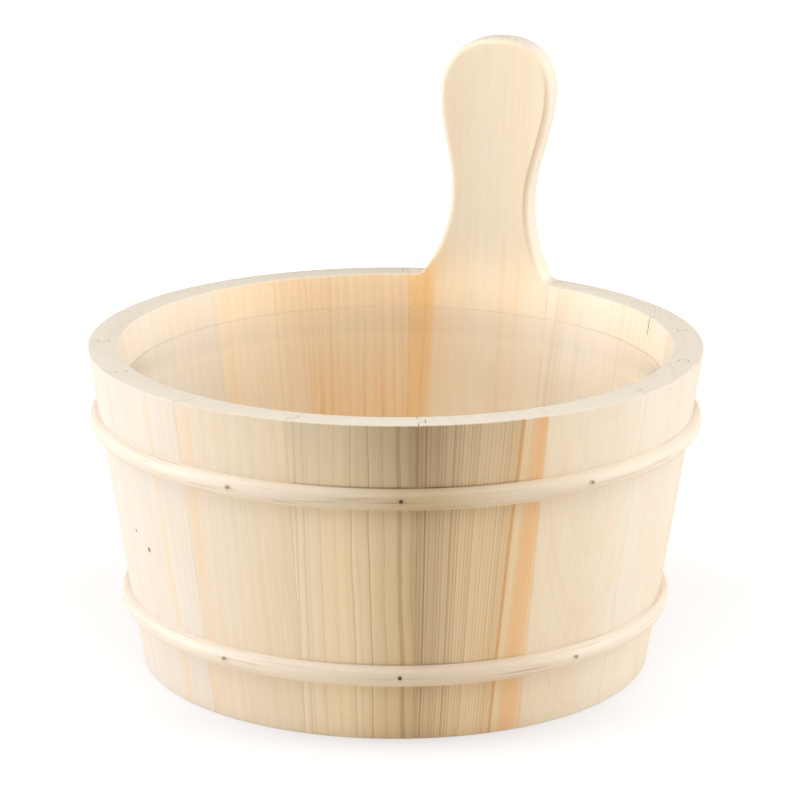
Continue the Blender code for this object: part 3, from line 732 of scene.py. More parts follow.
def wood_mark():
    """Node group: a soft-edged egg in the wood, for knots and streaks, from the distance in its radii."""
    inputs = {"Vector": ORIGIN, "Centre": ORIGIN, "Radii": (1.0, 1.0, 1.0)}
    tree, given, made = new_group("wood_mark", inputs, ["Mask"])
    place = tree.vector("MULTIPLY", given["Vector"], MILLIMETRES)
    shares = tree.vector("DIVIDE", tree.vector("SUBTRACT", place, given["Centre"]), given["Radii"])
    rough = tree.grain(place, (0.9, 0.9, 0.5))
    distance = tree.sway(rough, 0.6, tree.vector("LENGTH", shares))
    tree.feed(made["Mask"], tree.between(distance, 1.1, 0.5))
    return tree.tree


def cane_surface():
    """Node group: colour, roughness and relief of the peeled half-round wood of the hoops.

    Its vector holds metres along the hoop and across it. Streaks and fibres are noise drawn out along it.
    """
    inputs = {"Vector": ORIGIN, "Light": PLAIN_LIGHT, "Dark": PLAIN_DARK, "Seed": 0.0}
    tree, given, made = new_group("cane_surface", inputs, ["Colour", "Roughness", "Height"])
    seed = given["Seed"]
    place = tree.vector("MULTIPLY", given["Vector"], MILLIMETRES)
    streak = tree.grain(place, (0.022, 0.75, 0.75), seed, 3.0, 0.6)
    fibre = tree.grain(place, (0.06, 3.2, 3.2), seed, 2.0, 0.6)
    patch = tree.grain(place, (0.012, 0.10, 0.10), seed, 1.0)
    pore = tree.grain(place, (0.8, 3.0, 3.0), seed, 1.0)
    dark = tree.times(tree.between(streak, 0.52, 0.74), tree.between(patch, 0.38, 0.66, 0.15, 1.0))
    dark = tree.plus(tree.between(pore, 0.74, 0.82), 0.35, dark)
    shade = tree.mix(tree.times(dark, 0.6), given["Light"], given["Dark"])
    tree.feed(made["Colour"], tree.shaded(shade, tree.sway(fibre, 0.12)))
    tree.feed(made["Roughness"], tree.plus(streak, 0.2, 0.36))
    tree.feed(made["Height"], tree.plus(fibre, 0.5, streak))
    return tree.tree


def new_material(name):
    """A material with nothing but its Principled shader, which comes back with its tree."""
    material = bpy.data.materials.new(name)
    material.use_nodes = True
    return material, Tree(material.node_tree), material.node_tree.nodes["Principled BSDF"]


def dress(tree, shader, shade, roughness, gloss, height=None, depth=0.0, strength=1.0):
    """Feed a shader its colour, its roughness, how much it shines, and the relief of a height, if any."""
    tree.feed(shader.inputs["Base Color"], shade)
    tree.feed(shader.inputs["Roughness"], roughness)
    tree.feed(shader.inputs["Specular IOR Level"], gloss)
    if height is not None:
        bump = tree.add("Bump", {"Height": height, "Distance": depth, "Strength": strength})
        tree.feed(shader.inputs["Normal"], bump.outputs["Normal"])


@dataclass
class Figure:
    """How one stave is cut from its tree, and the colours that run up it.

    Lengths are in millimetres and heights in metres. Across runs along the ring from the middle of the outer
    face, to the right as seen from outside. Bands, strengths and inside hold (across, value) pairs: the value
    runs evenly from one place to the next, and beyond the last it stays.
    """

    pith: tuple  # across and depth of the pith that the rings run round
    ring: float  # width of a ring
    seed: float  # what moves its noise
    bands: tuple  # colours of the wood
    strengths: tuple  # how dark the ring lines are
    wave: float = 1.0  # how far the rings waver
    fan: float = 0.0  # how much they spread with each millimetre up
    slant: float = 0.0  # what is added to across with each millimetre up
    tilt: float = 0.0  # what is added to the depth with each millimetre up
    dark: tuple = None  # colour of the ring lines, if it isn't the late wood's
    fade: tuple = None  # two heights between which the bands turn into one colour, and that colour
    # Painted light and shade: how the tone changes towards the foot and the rim
    rise: tuple = (1.0, 1.0)  # the tone at the foot and at the rim, as a share, where the lines are dark
    fresh: float = 0.6  # how much painted light pales its inner face
    inside: tuple = ()  # colours of its inner face under that painted light, if they aren't the inner light tone
    weathered: float = 0.0  # how far its outer face has turned to cream
    crease: float = 0.0  # how dark the painted shade is in the crease above the hoops
    marks: tuple = ()  # centre and radii of each knot or streak


CREAM = srgb(223, 213, 197)
PALE = srgb(221, 209, 189)
BUFF = srgb(224, 208, 186)
STRAW = srgb(250, 227, 192)
IVORY = srgb(250, 233, 204)
AMBER = srgb(251, 211, 155)
HONEY = srgb(244, 184, 116)
RIPE_AMBER = srgb(251, 210, 150)
LIT_INNER_IVORY = srgb(253, 238, 214)
# Painted light: cooler, paler tone of the staves on the left side, for how the left lamp washes them out
COOL_LIT_SIDE = srgb(220, 213, 203)
BISCUIT = srgb(222, 201, 166)
PEACH = srgb(224, 184, 138)
RUST = srgb(214, 154, 88)
# Painted shade in the crease just above each hoop
CREASE_SHADE = srgb(96, 72, 44)
GREY_LINE = srgb(128, 98, 58)
BROWN_LINE = srgb(138, 106, 58)
# Painted shade: greyer tone of the grip's rounded edges, which tones down the light on them
GRIP_EDGE_SHADE = srgb(225, 214, 195)
GRIP_TONE = (0.84, 0.87, 0.93)  # what time and hands leave of the wood's tone on the grip


def even(value):
    """The pairs of a value that is the same all across a stave."""
    return ((0, value),)


FIGURES = {
    "stave_01": Figure((60, 90), 2.6, 1.3, wave=0.8, fresh=0.15, weathered=0.7,
                       fade=(0.070, 0.122, srgb(250, 223, 184)), strengths=((-30, 0.3), (30, 0.25)),
                       bands=((-12.5, AMBER), (-11, HONEY), (-9.5, AMBER), (-3.6, AMBER), (-2.6, HONEY),
                              (-1.6, AMBER), (16, AMBER), (17.5, HONEY), (19, AMBER))),
    "stave_02": Figure((-70, 80), 3.0, 2.7, fresh=0.3, weathered=0.6, strengths=((-30, 0.24), (30, 0.18)),
                       bands=((-30, srgb(246, 204, 150)), (-8, srgb(249, 220, 178)), (14, STRAW),
                              (19, srgb(249, 217, 172)), (24, STRAW))),
    "stave_03": Figure((20, 60), 2.3, 4.1, even(CREAM), even(0.16), wave=1.6, tilt=0.03, fresh=0.5),
    "stave_04": Figure((10, 70), 2.2, 5.9, even(COOL_LIT_SIDE), even(0.14), wave=1.4, tilt=-0.02),
    "stave_05": Figure((-30, 90), 2.4, 7.2, even(COOL_LIT_SIDE), even(0.13), wave=1.2),
    "stave_06": Figure((-90, 110), 2.8, 8.8, wave=1.1, strengths=((-30, 0.13), (30, 0.17)),
                       bands=((3, COOL_LIT_SIDE), (7, BUFF), (11, COOL_LIT_SIDE), (30, CREAM)),
                       marks=(((-19.3, 0, 1.3), (1.0, 20, 0.9)), ((-8.5, 0, -4.2), (1.5, 20, 1.5)))),
    "stave_07": Figure((-80, 120), 3.0, 9.4, wave=1.2, strengths=((-30, 0.15), (8, 0.2), (30, 0.34)),
                       bands=((-30, CREAM), (-24, BUFF), (-20, BUFF), (-17, CREAM),
                              (30, srgb(226, 210, 182)))),
    "stave_08": Figure((-105, 150), 3.6, 10.2, wave=1.5, dark=BROWN_LINE, rise=(1.0, 0.48), crease=1.0,
                       strengths=((-30, 0.2), (-12, 0.34), (5, 0.48), (30, 0.62)),
                       bands=((-30, srgb(228, 213, 187)), (-2, srgb(235, 218, 187)),
                              (12, srgb(217, 198, 164)), (30, srgb(192, 172, 138)))),
    "stave_09": Figure((-160, 8), 1.45, 11.6, wave=0.35, fan=0.00215, slant=-0.0221, dark=GREY_LINE,
                       rise=(1.15, 0.72), crease=0.8,
                       strengths=((-30, 1.0), (-18, 0.95), (-13, 0.65), (0, 0.5), (11, 0.42), (13, 0.2),
                                  (30, 0.12)),
                       bands=((-30, srgb(196, 175, 143)), (-17, srgb(203, 181, 147)),
                              (-8, srgb(219, 197, 163)), (4, srgb(221, 198, 164)),
                              (11.2, srgb(214, 188, 148)), (12.2, srgb(204, 158, 108)),
                              (12.9, srgb(214, 180, 134)), (13.4, BISCUIT), (15.6, BISCUIT), (17.6, PEACH),
                              (22, PEACH), (25, srgb(223, 192, 152)), (30, srgb(222, 196, 160)))),
    "stave_10": Figure((4, 46), 3.4, 12.9, wave=3.0, tilt=0.10, strengths=((-30, 0.18), (30, 0.14)),
                       bands=((-30, srgb(225, 210, 186)), (0, PALE), (30, CREAM))),
    "stave_11": Figure((-20, 60), 2.3, 14.3, even(CREAM), even(0.13), wave=1.8, tilt=-0.05),
    "stave_12": Figure((8, 64), 2.2, 15.5, even(CREAM), even(0.15), wave=1.3, fresh=0.4),
    "stave_13": Figure((40, 80), 2.5, 17.1, even(PALE), even(0.17), wave=1.2, fresh=0.75,
                       marks=(((1, 13, 66), (0.5, 3, 6)),)),
    "stave_14": Figure((-60, 100), 2.7, 18.4, even(PALE), even(0.2), fresh=0.8),
    HANDLE: Figure((130, 60), 3.4, 20.2, wave=0.9, weathered=0.6, fade=(0.128, 0.168, IVORY),
                   strengths=((-36, 0.03), (36, 0.04)), inside=((22.5, LIT_INNER_IVORY), (25.5, RIPE_AMBER)),
                   bands=((-17.8, IVORY), (-15.7, srgb(250, 219, 178)), (-13.8, IVORY), (-10.4, IVORY),
                          (-8.5, srgb(249, 216, 172)), (-6.6, IVORY), (6, IVORY), (16, srgb(250, 221, 180)),
                          (22, srgb(250, 212, 164)), (26.8, AMBER), (27.6, HONEY), (28.4, AMBER))),
}
FIGURE_REACH = 36.0  # millimetres across that the pairs cover, on each side

# Heights, depths and slopes of a face between which a stave's tone changes
# Painted light and shade: heights over which a stave's tone changes towards the foot and the rim
SHADED_FOOT = (0.0, 0.040)
SHADED_RIM = (0.085, RIM_HEIGHT)
GRIP_START = (RIM_HEIGHT - 0.012, RIM_HEIGHT + 0.022)
# Painted light: depths and heights over which the inner faces turn paler
INNER_LIGHT_DEPTH, INNER_LIGHT_HEIGHT = (0.007, 0.012), (RIM_HEIGHT + 0.014, RIM_HEIGHT - 0.006)
WEATHERED_DEPTH, WEATHERED_HEIGHT = (0.009, 0.004), (RIM_HEIGHT + 0.02, RIM_HEIGHT - 0.02)
SAWN_SLOPE = (0.55, 0.9)
GRIP_EDGE_SLOPE = (0.4, 0.8)
EDGE_LINE_FROM, EDGE_LINE_TO = (0.012, 0.042), (0.102, 0.080)  # above the rim
EDGE_LINE_SHARE = 0.6
MARK_SHARE = 0.8
CREASE_DEPTH = (0.003, 0.001)
CREASE_START, CREASE_END = (-0.002, -0.001), (0.001, 0.0003)  # heights above a hoop's upper edge
LOWER_CREASE_SHADE = 0.4  # how dark the painted shade is above the lower hoop, as a share
WOOD_GLOSS = 0.35
WOOD_RELIEF = 0.00006


def run_across(draw, share, pairs):
    """The value at a share of the reach, drawn as a ramp or a curve through (across, value) pairs."""
    stops = [((place + FIGURE_REACH) / (2 * FIGURE_REACH), value) for place, value in pairs]
    return draw(share, stops) if len(stops) > 1 else stops[0][1]


def stave_light(tree, figure, share, high, strength):
    """The wood's colour between the ring lines.

    It is the colour of the bands, faded into one colour higher up, and times a level, which is painted light
    and shade. The level is one but near the foot and the rim, where it comes to the figure's rise as far as
    the lines are strong.
    """
    light = run_across(tree.ramp, share, figure.bands)
    if figure.fade:
        light = tree.mix(tree.between(high, *figure.fade[:2]), light, figure.fade[2])
    low = tree.between(high, *SHADED_FOOT, figure.rise[0], 1.0)
    level = tree.times(low, tree.between(high, *SHADED_RIM, 1.0, figure.rise[1]))
    return tree.shaded(light, tree.plus(strength, tree.math("SUBTRACT", level, 1.0), 1.0))


def aged_light(tree, figure, light, share, high, depth):
    """That colour toned by hands on the grip, weathered outside, and paled inside by painted light."""
    light = tree.mix(tree.between(high, *GRIP_START), light, tree.dyed(light, GRIP_TONE))
    if figure.weathered:
        outer = tree.between(depth, *WEATHERED_DEPTH, 0.0, figure.weathered)
        light = tree.mix(tree.times(outer, tree.between(high, *WEATHERED_HEIGHT)), light, CREAM)
    # Painted light: the inner faces below the rim turn paler
    inner = tree.times(tree.between(depth, *INNER_LIGHT_DEPTH), tree.between(high, *INNER_LIGHT_HEIGHT))
    fresh = run_across(tree.ramp, share, figure.inside or even(tint("inner_wood")))
    return tree.mix(tree.times(inner, figure.fresh), light, fresh)


def creased(tree, figure, shade, high, depth, strength):
    """Painted shade on the outer face: a thin dark line along the upper edge of each hoop."""
    mask = 0.0
    for middle, share in zip(hoop_heights(), (1.0, LOWER_CREASE_SHADE)):
        edge = middle + bpy.context.scene.bucket_sizes.hoop_width / 2
        start = tree.between(high, edge + CREASE_START[0], edge + CREASE_START[1], 0.0, share)
        line = tree.times(start, tree.between(high, edge + CREASE_END[0], edge + CREASE_END[1]))
        mask = tree.math("ADD", mask, line)
    outside = tree.times(tree.times(tree.between(depth, *CREASE_DEPTH), figure.crease), strength)
    return tree.mix(tree.times(outside, mask), shade, CREASE_SHADE)


def worn_grip(tree, shade, high, sideways):
    """The grip's colour with painted shade on its rounded edges and a dark line along the inner face's edge.
    """
    rounded = tree.times(tree.between(sideways, *GRIP_EDGE_SLOPE), tree.between(high, *GRIP_START))
    # painted shade on the rounded edges that face sideways
    shade = tree.mix(rounded, shade, GRIP_EDGE_SHADE)
    near, up, _ = tree.split(tree.place())
    edge_line = tree.times(near, tree.times(tree.between(up, *EDGE_LINE_FROM), tree.between(up, *EDGE_LINE_TO)))
    return tree.mix(tree.times(edge_line, EDGE_LINE_SHARE), shade, RUST)


def stave_material(name, figure, angle):
    """Planed spruce with the figure of one stave; the Mapping node lays its axes along the stave."""
    material, tree, shader = new_material(name + "_wood")
    radius = wall_radius(RIM_HEIGHT / 2)
    middle = (radius * cos(angle), radius * sin(angle) + AXIS_Y, RIM_HEIGHT / 2)
    along = tree.laid(middle, (lean(), 0.0, angle + pi / 2))
    values = {"Vector": along, "Pith Across": figure.pith[0], "Pith Depth": figure.pith[1],
              "Ring Width": figure.ring, "Fan": figure.fan, "Slant": figure.slant, "Tilt": figure.tilt,
              "Waviness": figure.wave, "Seed": figure.seed}
    rings = tree.group(growth_rings, values)
    share = tree.plus(rings["Across"], 0.5 / FIGURE_REACH, 0.5)
    high, depth = tree.split(tree.own())[2], tree.split(along)[1]
    sideways, _, upright = tree.split(tree.add("NewGeometry").outputs["Normal"])
    strength = run_across(tree.curve, share, figure.strengths)
    light = stave_light(tree, figure, share, high, strength)
    light = aged_light(tree, figure, light, share, high, depth)
    end_grain = tree.between(tree.math("ABSOLUTE", upright), *SAWN_SLOPE)
    values = {"Vector": along, "Light": light, "Dark": figure.dark or tint("late_wood"),
              "End Light": tint("end_grain"), "End Dark": tint("end_line"), "Line": rings["Line"],
              "Strength": strength, "End Grain": end_grain, "Seed": figure.seed}
    surface = tree.group(wood_surface, values)
    shade = surface["Colour"]
    # painted shade in the creases above the hoops
    if figure.crease:
        shade = creased(tree, figure, shade, high, depth, strength)
    for centre, radii in figure.marks:
        mark = tree.group(wood_mark, {"Vector": along, "Centre": centre, "Radii": radii})
        shade = tree.mix(tree.times(mark["Mask"], MARK_SHARE), shade, tint("knot"))
    if name == HANDLE:
        shade = worn_grip(tree, shade, high, tree.math("ABSOLUTE", sideways))
    dress(tree, shader, shade, surface["Roughness"], WOOD_GLOSS, surface["Height"], WOOD_RELIEF)
    return material


def board_material(name, seed):
    """Planed board with its grain along Y and its rings seen flat; each lies elsewhere in its tree."""
    material, tree, shader = new_material(name + "_wood")
    low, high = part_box(name)
    along = tree.laid(((low[0] + high[0]) / 2, AXIS_Y, high[2]), (-pi / 2, 0.0, 0.0))
    values = {"Vector": along, "Pith Across": 12.0 * seed - 20, "Pith Depth": 60.0, "Ring Width": 3.2,
              "Tilt": 0.03, "Waviness": 2.2, "Seed": seed}
    rings = tree.group(growth_rings, values)
    values = {"Vector": along, "Light": tint("boards"), "Dark": tint("late_wood"), "Line": rings["Line"],
              "Strength": 0.6, "Seed": seed}
    surface = tree.group(wood_surface, values)
    dress(tree, shader, surface["Colour"], surface["Roughness"], WOOD_GLOSS, surface["Height"], WOOD_RELIEF)
    return material


# Painted shade on the hoops' wood, as (degrees from the front, share) pairs
UPPER_FRONT_SHADE = ((-30, 0), (-19, 0.17), (-8, 0.6), (-3, 1), (3, 1), (10, 0.65), (16, 0.45), (30, 0.36),
                  (45, 0.15), (65, 0))
LOWER_FRONT_SHADE = ((-19, 0), (-8, 0.2), (0, 0.36), (20, 0.33), (40, 0.15), (65, 0))
# the hoops' streaks where the painted shade is full
FRONT_STREAK_SHADE = srgb(108, 84, 50)
CANE_GLOSS = 0.4
CANE_RELIEF = 0.00008
DARK_NAIL_REACH = radians(10)  # how far to each side of the front the nails get dark steel, painted shade


def cane_material(name, seed, front_shade):
    """Peeled wood of a hoop, on the hoop's own place attribute; its front is browner, painted shade."""
    material, tree, shader = new_material(name + "_wood")
    aside = tree.vector("SUBTRACT", tree.own(), (0.0, AXIS_Y, 0.0))
    ahead = tree.add("VectorRotate", {"Vector": aside, "Angle": -FRONT}, rotation_type="Z_AXIS")
    x, y, _ = tree.split(ahead.outputs["Vector"])
    turned = tree.plus(tree.math("ARCTAN2", y, x), 1 / tau, 0.5)
    # painted shade: the hoops darken towards the front
    front = tree.curve(turned, [(degrees / 360 + 0.5, share) for degrees, share in front_shade])
    light = tree.mix(front, tint("cane"), tint("cane_tan"))
    streak = tree.mix(front, tint("cane_streak"), FRONT_STREAK_SHADE)
    values = {"Vector": tree.place(), "Light": light, "Dark": streak, "Seed": seed}
    surface = tree.group(cane_surface, values)
    dress(tree, shader, surface["Colour"], surface["Roughness"], CANE_GLOSS, surface["Height"], CANE_RELIEF)
    return material


def nail_material(name, shade, metallic):
    """A nail: dull steel, or a pale tone without metal; fine noise in colour and roughness."""
    material, tree, shader = new_material(name)
    grit = tree.noise(tree.own(), 4000.0, 3.0, 0.6)
    dark = tuple(0.6 * value for value in shade)
    tree.feed(shader.inputs["Base Color"], tree.mix(grit, shade, dark))
    tree.feed(shader.inputs["Roughness"], tree.between(grit, 0.2, 0.8, 0.4, 0.65))
    shader.inputs["Metallic"].default_value = metallic
    return material


def stands_in_front(name):
    """Whether a node stands in front: its angle round the axis is near that of the front."""
    low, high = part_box(name)
    x, y = (low[0] + high[0]) / 2, (low[1] + high[1]) / 2 - AXIS_Y
    return (x * cos(FRONT) + y * sin(FRONT)) / hypot(x, y) > cos(DARK_NAIL_REACH)


PLASTIC_EDGE_REFLECTION = srgb(160, 138, 114)  # painted reflection: the surroundings' tone that its edges gather
PLASTIC_GLOSS = 0.3
PLASTIC_RELIEF = 0.0003
RELIEF_STRENGTH = 0.5
WALL_DENSITY = 0.035  # how much of the plastic shows where it is seen straight
COLLAR_DENSITY = 0.015  # how much more shows on the collar
EDGE_DENSITY = 0.55  # how much more shows where it is seen along its face
LEDGE_DENSITY = 0.02  # and what is left of that at the collar's ledge
LEDGE_REACH = (0.002, 0.004)  # distances from the ledge between which it rises
COLLAR_BLUR = 0.0006  # half the height over which the collar's density fades
FLOW_DENSITY = 0.03  # how much the flow marks add or take
SHADOW_LOSS = 0.8  # share of its shadow that the scattered light fills


def plastic_material():
    """Milky plastic: clear where it is seen straight, denser along its edges, with faint flow marks.

    Light that passes it is scattered on, not lost, so it throws only a faint shadow.
    """
    material, tree, shader = new_material("milky_plastic")
    own = tree.own()
    high = tree.split(own)[2]
    flow = tree.grain(own, (60.0, 60.0, 14.0))
    grit = tree.noise(own, 900.0)
    facing = tree.add("LayerWeight", {"Blend": 0.35}).outputs["Facing"]
    collar_foot = LINER_BOX[1][2] - bpy.context.scene.bucket_sizes.collar_height
    collar = tree.between(high, collar_foot - COLLAR_BLUR, collar_foot + COLLAR_BLUR)
    from_ledge = tree.math("ABSOLUTE", tree.math("SUBTRACT", high, collar_foot))
    edge = tree.between(from_ledge, *LEDGE_REACH, LEDGE_DENSITY, EDGE_DENSITY)
    edge = tree.times(tree.math("POWER", facing, 3.0), edge)
    alpha = tree.math("ADD", edge, tree.plus(collar, COLLAR_DENSITY, WALL_DENSITY))
    alpha = tree.sway(flow, FLOW_DENSITY, alpha)
    shadow = tree.add("LightPath").outputs["Is Shadow Ray"]
    alpha = tree.times(alpha, tree.plus(shadow, -SHADOW_LOSS, 1.0))
    milk = tint("plastic")
    shade = tree.mix(flow, milk, tuple(0.94 * value for value in milk))
    # Painted reflection: where it is seen along its face it takes the surroundings' darker tone
    shade = tree.mix(tree.between(facing, 0.2, 0.7), shade, PLASTIC_EDGE_REFLECTION)
    tree.feed(shader.inputs["Alpha"], alpha)
    roughness = tree.between(grit, 0.2, 0.8, 0.34, 0.46)
    dress(tree, shader, shade, roughness, PLASTIC_GLOSS, flow, PLASTIC_RELIEF, RELIEF_STRENGTH)
    return material


SHADOW_REACH = (0.16, 0.45)  # distances from the middle between which the ground turns fully white
SHADOW_TONE = (0.66, 0.65, 0.65)  # the ground where no light reaches it
SHADOW_SHARE = (0.34, 0.34, 0.34)  # how much of the light is added to that
CONTACT_REACH = 0.045  # how far from the foot the painted contact shadow reaches
CONTACT_SHADOW_TONE = (0.84, 0.835, 0.835)  # what the painted contact shadow leaves of the ground's tone
SIDE_CONTACT_SHADOW = 0.12  # and how much of that there is away from the front, as a share
GROUND_GLOSS = 0.1


def ground_material():
    """Pale ground: seen directly it is white, but for the bucket's shadow and a painted contact shadow."""
    material, tree, shader = new_material("pale_ground")
    own = tree.own()
    pale = tint("floor")
    shade = tree.mix(tree.noise(own, 3.0), pale, tuple(0.985 * value for value in pale))
    dress(tree, shader, shade, 0.9, GROUND_GLOSS)
    around = tree.vector("MULTIPLY", own, (1.0, 1.0, 0.0))
    beyond = tree.between(tree.vector("LENGTH", around), *SHADOW_REACH)
    # Painted contact shadow: darker where little open sky is near, most at the front
    open_sky = tree.add("AmbientOcclusion", {"Distance": CONTACT_REACH}).outputs["AO"]
    outward = tree.vector("NORMALIZE", around)
    facing = tree.vector("DOT_PRODUCT", outward, (cos(FRONT), sin(FRONT), 0.0))
    ahead = tree.between(facing, 0.3, 1.0, SIDE_CONTACT_SHADOW, 1.0)
    contact_shadow = tree.mix(tree.times(tree.between(open_sky, 1.0, 0.35), ahead), WHITE, CONTACT_SHADOW_TONE)
    soft = tree.add("BsdfDiffuse", {"Color": tree.dyed(SHADOW_SHARE, contact_shadow)}).outputs[0]
    shade = tree.dyed(tree.mix(beyond, SHADOW_TONE, WHITE), contact_shadow)
    glow = tree.add("Emission", {"Color": shade}).outputs[0]
    seen = tree.add("AddShader", {0: soft, 1: glow}).outputs[0]
    camera = tree.add("LightPath").outputs["Is Camera Ray"]
    mixed = tree.add("MixShader", {0: camera, 1: shader.outputs[0], 2: seen}).outputs[0]
    tree.feed(material.node_tree.nodes["Material Output"].inputs["Surface"], mixed)
    return material


# Operators


class BUCKET_OT_plain_staves(bpy.types.Operator):
    """Build the fourteen plain staves"""

    bl_idname = "bucket.plain_staves"
    bl_label = "Plain Staves"

    def execute(self, context):
        for number in range(1, PLAIN_STAVES + 1):
            name = f"stave_{number:02d}"
            end = FIRST_SEAM + number * PLAIN_STAVE_ANGLE
            start = end - PLAIN_STAVE_ANGLE
            material = stave_material(name, FIGURES[name], (start + end) / 2)
            put_piece(name + "_spruce", [stave_rings(start, end)], material, [name], BUCKET)
        return {"FINISHED"}


class BUCKET_OT_handle_stave(bpy.types.Operator):
    """Build the wide stave that runs on above the rim as the grip"""

    bl_idname = "bucket.handle_stave"
    bl_label = "Handle Stave"

    def execute(self, context):
        wall = stave_rings(FIRST_SEAM - HANDLE_STAVE_ANGLE, FIRST_SEAM)
        grip, place = grip_rings()
        material = stave_material(HANDLE, FIGURES[HANDLE], HANDLE_ANGLE)
        shells, places = [wall, grip], [np.zeros_like(wall), place]
        put_piece(HANDLE + "_spruce", shells, material, [HANDLE], BUCKET, places, welded=True)
        return {"FINISHED"}


class BUCKET_OT_hoops(bpy.types.Operator):
    """Build the two half-round hoops with their scarfed laps"""

    bl_idname = "bucket.hoops"
    bl_label = "Hoops"

    def execute(self, context):
        upper, lower = hoop_heights()
        hoops = (("upper_hoop", upper, 3.0, UPPER_FRONT_SHADE), ("lower_hoop", lower, 8.0, LOWER_FRONT_SHADE))
        for name, height, seed, front_shade in hoops:
            rings, place = hoop_rings(height)
            material = cane_material(name, seed, front_shade)
            put_piece(name + "_cane", [rings], material, [name], BUCKET, [place])
        return {"FINISHED"}


class BUCKET_OT_liner(bpy.types.Operator):
    """Build the loose milky liner"""

    bl_idname = "bucket.liner"
    bl_label = "Liner"

    def execute(self, context):
        put_piece("liner_shell", [liner_rings()], plastic_material(), ["liner"], LINER)
        return {"FINISHED"}


class BUCKET_OT_floor_and_nails(bpy.types.Operator):
    """Give the floor boards and the nails their finishes"""

    bl_idname = "bucket.floor_and_nails"
    bl_label = "Floor and Nails"

    def execute(self, context):
        front_finish = nail_material("nail_steel", tint("steel"), 0.7)
        other_finish = nail_material("nail_filled", tint("filler"), 0.0)
        for name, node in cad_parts.items():
            if "_nail_" in name:
                # Painted shade: dark steel for the nails at the front, a pale tone for the rest
                finish = front_finish if stands_in_front(name) else other_finish
            elif name.startswith("floor_board"):
                finish = board_material(name, float(name[-1]))
            else:
                continue
            node.data.materials.clear()
            node.data.materials.append(finish)
        return {"FINISHED"}


# Studio: the photograph's frame in pixels, and the camera that was fitted to it
PHOTO_SIDE = 803
PHOTO_FOCAL_LENGTH = 3500
SENSOR_WIDTH = 36.0
CAMERA_TURN = radians(20.17)  # round the bucket's axis, from the side away from the grip
CAMERA_PLACE = (0.0, -1.46629, 0.39023)  # from the middle of the rim, before that turn
CAMERA_SINK = radians(15.912)  # how far below level it looks
CAMERA_PAN = -0.00172
CAMERA_ROLL = 0.00306

GROUND_REACH = 30.0
GROUND_DROP = 0.0002
LAMP_TARGET = (0.0, 0.0, 0.09)
ROOM_COLOUR = (1.0, 0.92, 0.79)
ROOM_STRENGTH = 0.16

# Each lamp's name, place from the axis, size, watts and colour
LAMPS = (
    ("left_window", (-1.55, 0.0, 0.32), (1.0, 0.6), 15.9, (0.95, 1.0, 1.10)),
    ("right_window", (1.55, -0.10, 0.32), (1.0, 0.6), 13.3, (0.95, 1.0, 1.10)),
    ("top_window", (0.0, 0.0, 1.55), (1.3, 1.3), 8.9, (1.0, 0.97, 0.92)),
    ("high_left_window", (-1.1, 0.0, 1.15), (0.9, 0.7), 6.8, (1.0, 0.98, 0.95)),
    ("high_right_window", (1.1, 0.0, 1.15), (0.9, 0.7), 6.8, (1.0, 0.98, 0.95)),
    ("front_window", (0.0, -0.95, 1.30), (0.9, 0.7), 9.0, (1.0, 0.97, 0.92)),
)


def lay_ground():
    """A wide square just under the foot."""
    mesh = bpy.data.meshes.new("ground")
    sides = ((-1, -1), (1, -1), (1, 1), (-1, 1))
    corners = [(x * GROUND_REACH, y * GROUND_REACH, -GROUND_DROP) for x, y in sides]
    mesh.from_pydata(corners, [], [(0, 1, 2, 3)])
    mesh.materials.append(ground_material())
    put_object("ground", mesh)


def hang_lamps():
    """Soft lamps round the bucket, turned with the camera, each aimed at one point in it."""
    around = Matrix.Translation((0.0, AXIS_Y, 0.0)) @ Matrix.Rotation(CAMERA_TURN, 4, "Z")
    for name, place, size, power, glow in LAMPS:
        light = bpy.data.lights.new(name, "AREA")
        light.shape = "RECTANGLE"
        light.size, light.size_y = size
        light.energy = power
        light.color = glow
        turn = (Vector(LAMP_TARGET) - Vector(place)).to_track_quat("-Z", "Y").to_matrix().to_4x4()
        put_object(name, light).matrix_world = around @ Matrix.Translation(place) @ turn


def light_room(scene):
    """A warm dim world round the bucket, which the camera and clear pieces see as white."""
    world = bpy.data.worlds.new("studio")
    world.use_nodes = True
    scene.world = world
    tree = Tree(world.node_tree)
    room = world.node_tree.nodes["Background"]
    tree.feed(room.inputs["Color"], ROOM_COLOUR)
    tree.feed(room.inputs["Strength"], ROOM_STRENGTH)
    backdrop = tree.add("Background", {"Color": WHITE, "Strength": 1.0}).outputs[0]
    path = tree.add("LightPath").outputs
    seen = tree.math("MAXIMUM", path["Is Camera Ray"], path["Is Transmission Ray"])
    mixed = tree.add("MixShader", {0: seen, 1: room.outputs[0], 2: backdrop}).outputs[0]
    tree.feed(world.node_tree.nodes["World Output"].inputs["Surface"], mixed)


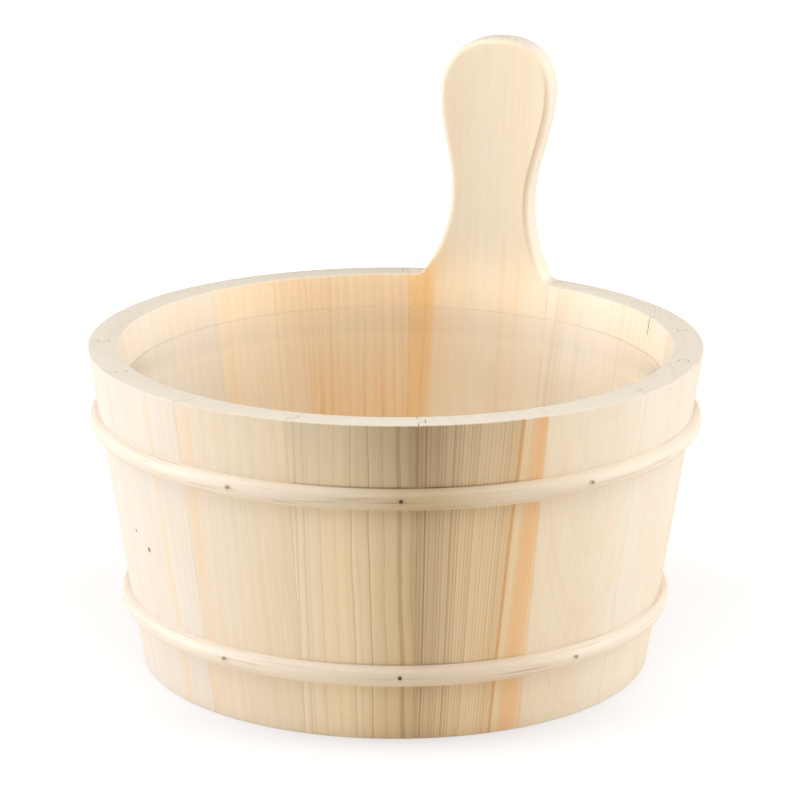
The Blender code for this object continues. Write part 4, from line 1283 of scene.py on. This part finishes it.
def set_camera(scene):
    """The camera at the photograph's angle and distance."""
    camera = bpy.data.cameras.new("camera")
    camera.sensor_width = SENSOR_WIDTH
    camera.lens = PHOTO_FOCAL_LENGTH / PHOTO_SIDE * camera.sensor_width
    place = Matrix.Rotation(CAMERA_TURN, 3, "Z") @ Vector(CAMERA_PLACE) + Vector((0.0, AXIS_Y, RIM_HEIGHT))
    turn = Matrix.Rotation(CAMERA_TURN + CAMERA_PAN, 4, "Z") @ Matrix.Rotation(pi / 2 - CAMERA_SINK, 4, "X")
    scene.camera = put_object("camera", camera)
    scene.camera.matrix_world = Matrix.Translation(place) @ turn @ Matrix.Rotation(CAMERA_ROLL, 4, "Z")


class BUCKET_OT_studio(bpy.types.Operator):
    """Set up the ground, the soft lamps and the camera"""

    bl_idname = "bucket.studio"
    bl_label = "Studio"

    def execute(self, context):
        context.scene.view_settings.view_transform = "Standard"
        lay_ground()
        hang_lamps()
        light_room(context.scene)
        set_camera(context.scene)
        return {"FINISHED"}


class BUCKET_PT_panel(bpy.types.Panel):
    """Lists the bucket's operators, sizes and colours"""

    bl_idname = "BUCKET_PT_panel"
    bl_label = "Sauna Bucket"
    bl_space_type = "VIEW_3D"
    bl_region_type = "UI"
    bl_category = "Bucket"

    def draw(self, context):
        for operator in OPERATORS:
            self.layout.operator(operator.bl_idname)
        for group in (context.scene.bucket_sizes, context.scene.bucket_colours):
            column = self.layout.column(align=True)
            for name in type(group).__annotations__:
                column.prop(group, name)


OPERATORS = (
    BUCKET_OT_plain_staves,
    BUCKET_OT_handle_stave,
    BUCKET_OT_hoops,
    BUCKET_OT_liner,
    BUCKET_OT_floor_and_nails,
    BUCKET_OT_studio,
)
CLASSES = (BucketSizes, BucketColours, *OPERATORS, BUCKET_PT_panel)


def register():
    for item in CLASSES:
        bpy.utils.register_class(item)
    bpy.types.Scene.bucket_sizes = PointerProperty(type=BucketSizes)
    bpy.types.Scene.bucket_colours = PointerProperty(type=BucketColours)


def unregister():
    del bpy.types.Scene.bucket_colours
    del bpy.types.Scene.bucket_sizes
    for item in reversed(CLASSES):
        bpy.utils.unregister_class(item)


def main():
    register()
    bpy.ops.bucket.plain_staves()
    bpy.ops.bucket.handle_stave()
    bpy.ops.bucket.hoops()
    bpy.ops.bucket.liner()
    bpy.ops.bucket.floor_and_nails()
    bpy.ops.bucket.studio()


if __name__ == "__main__":
    main()
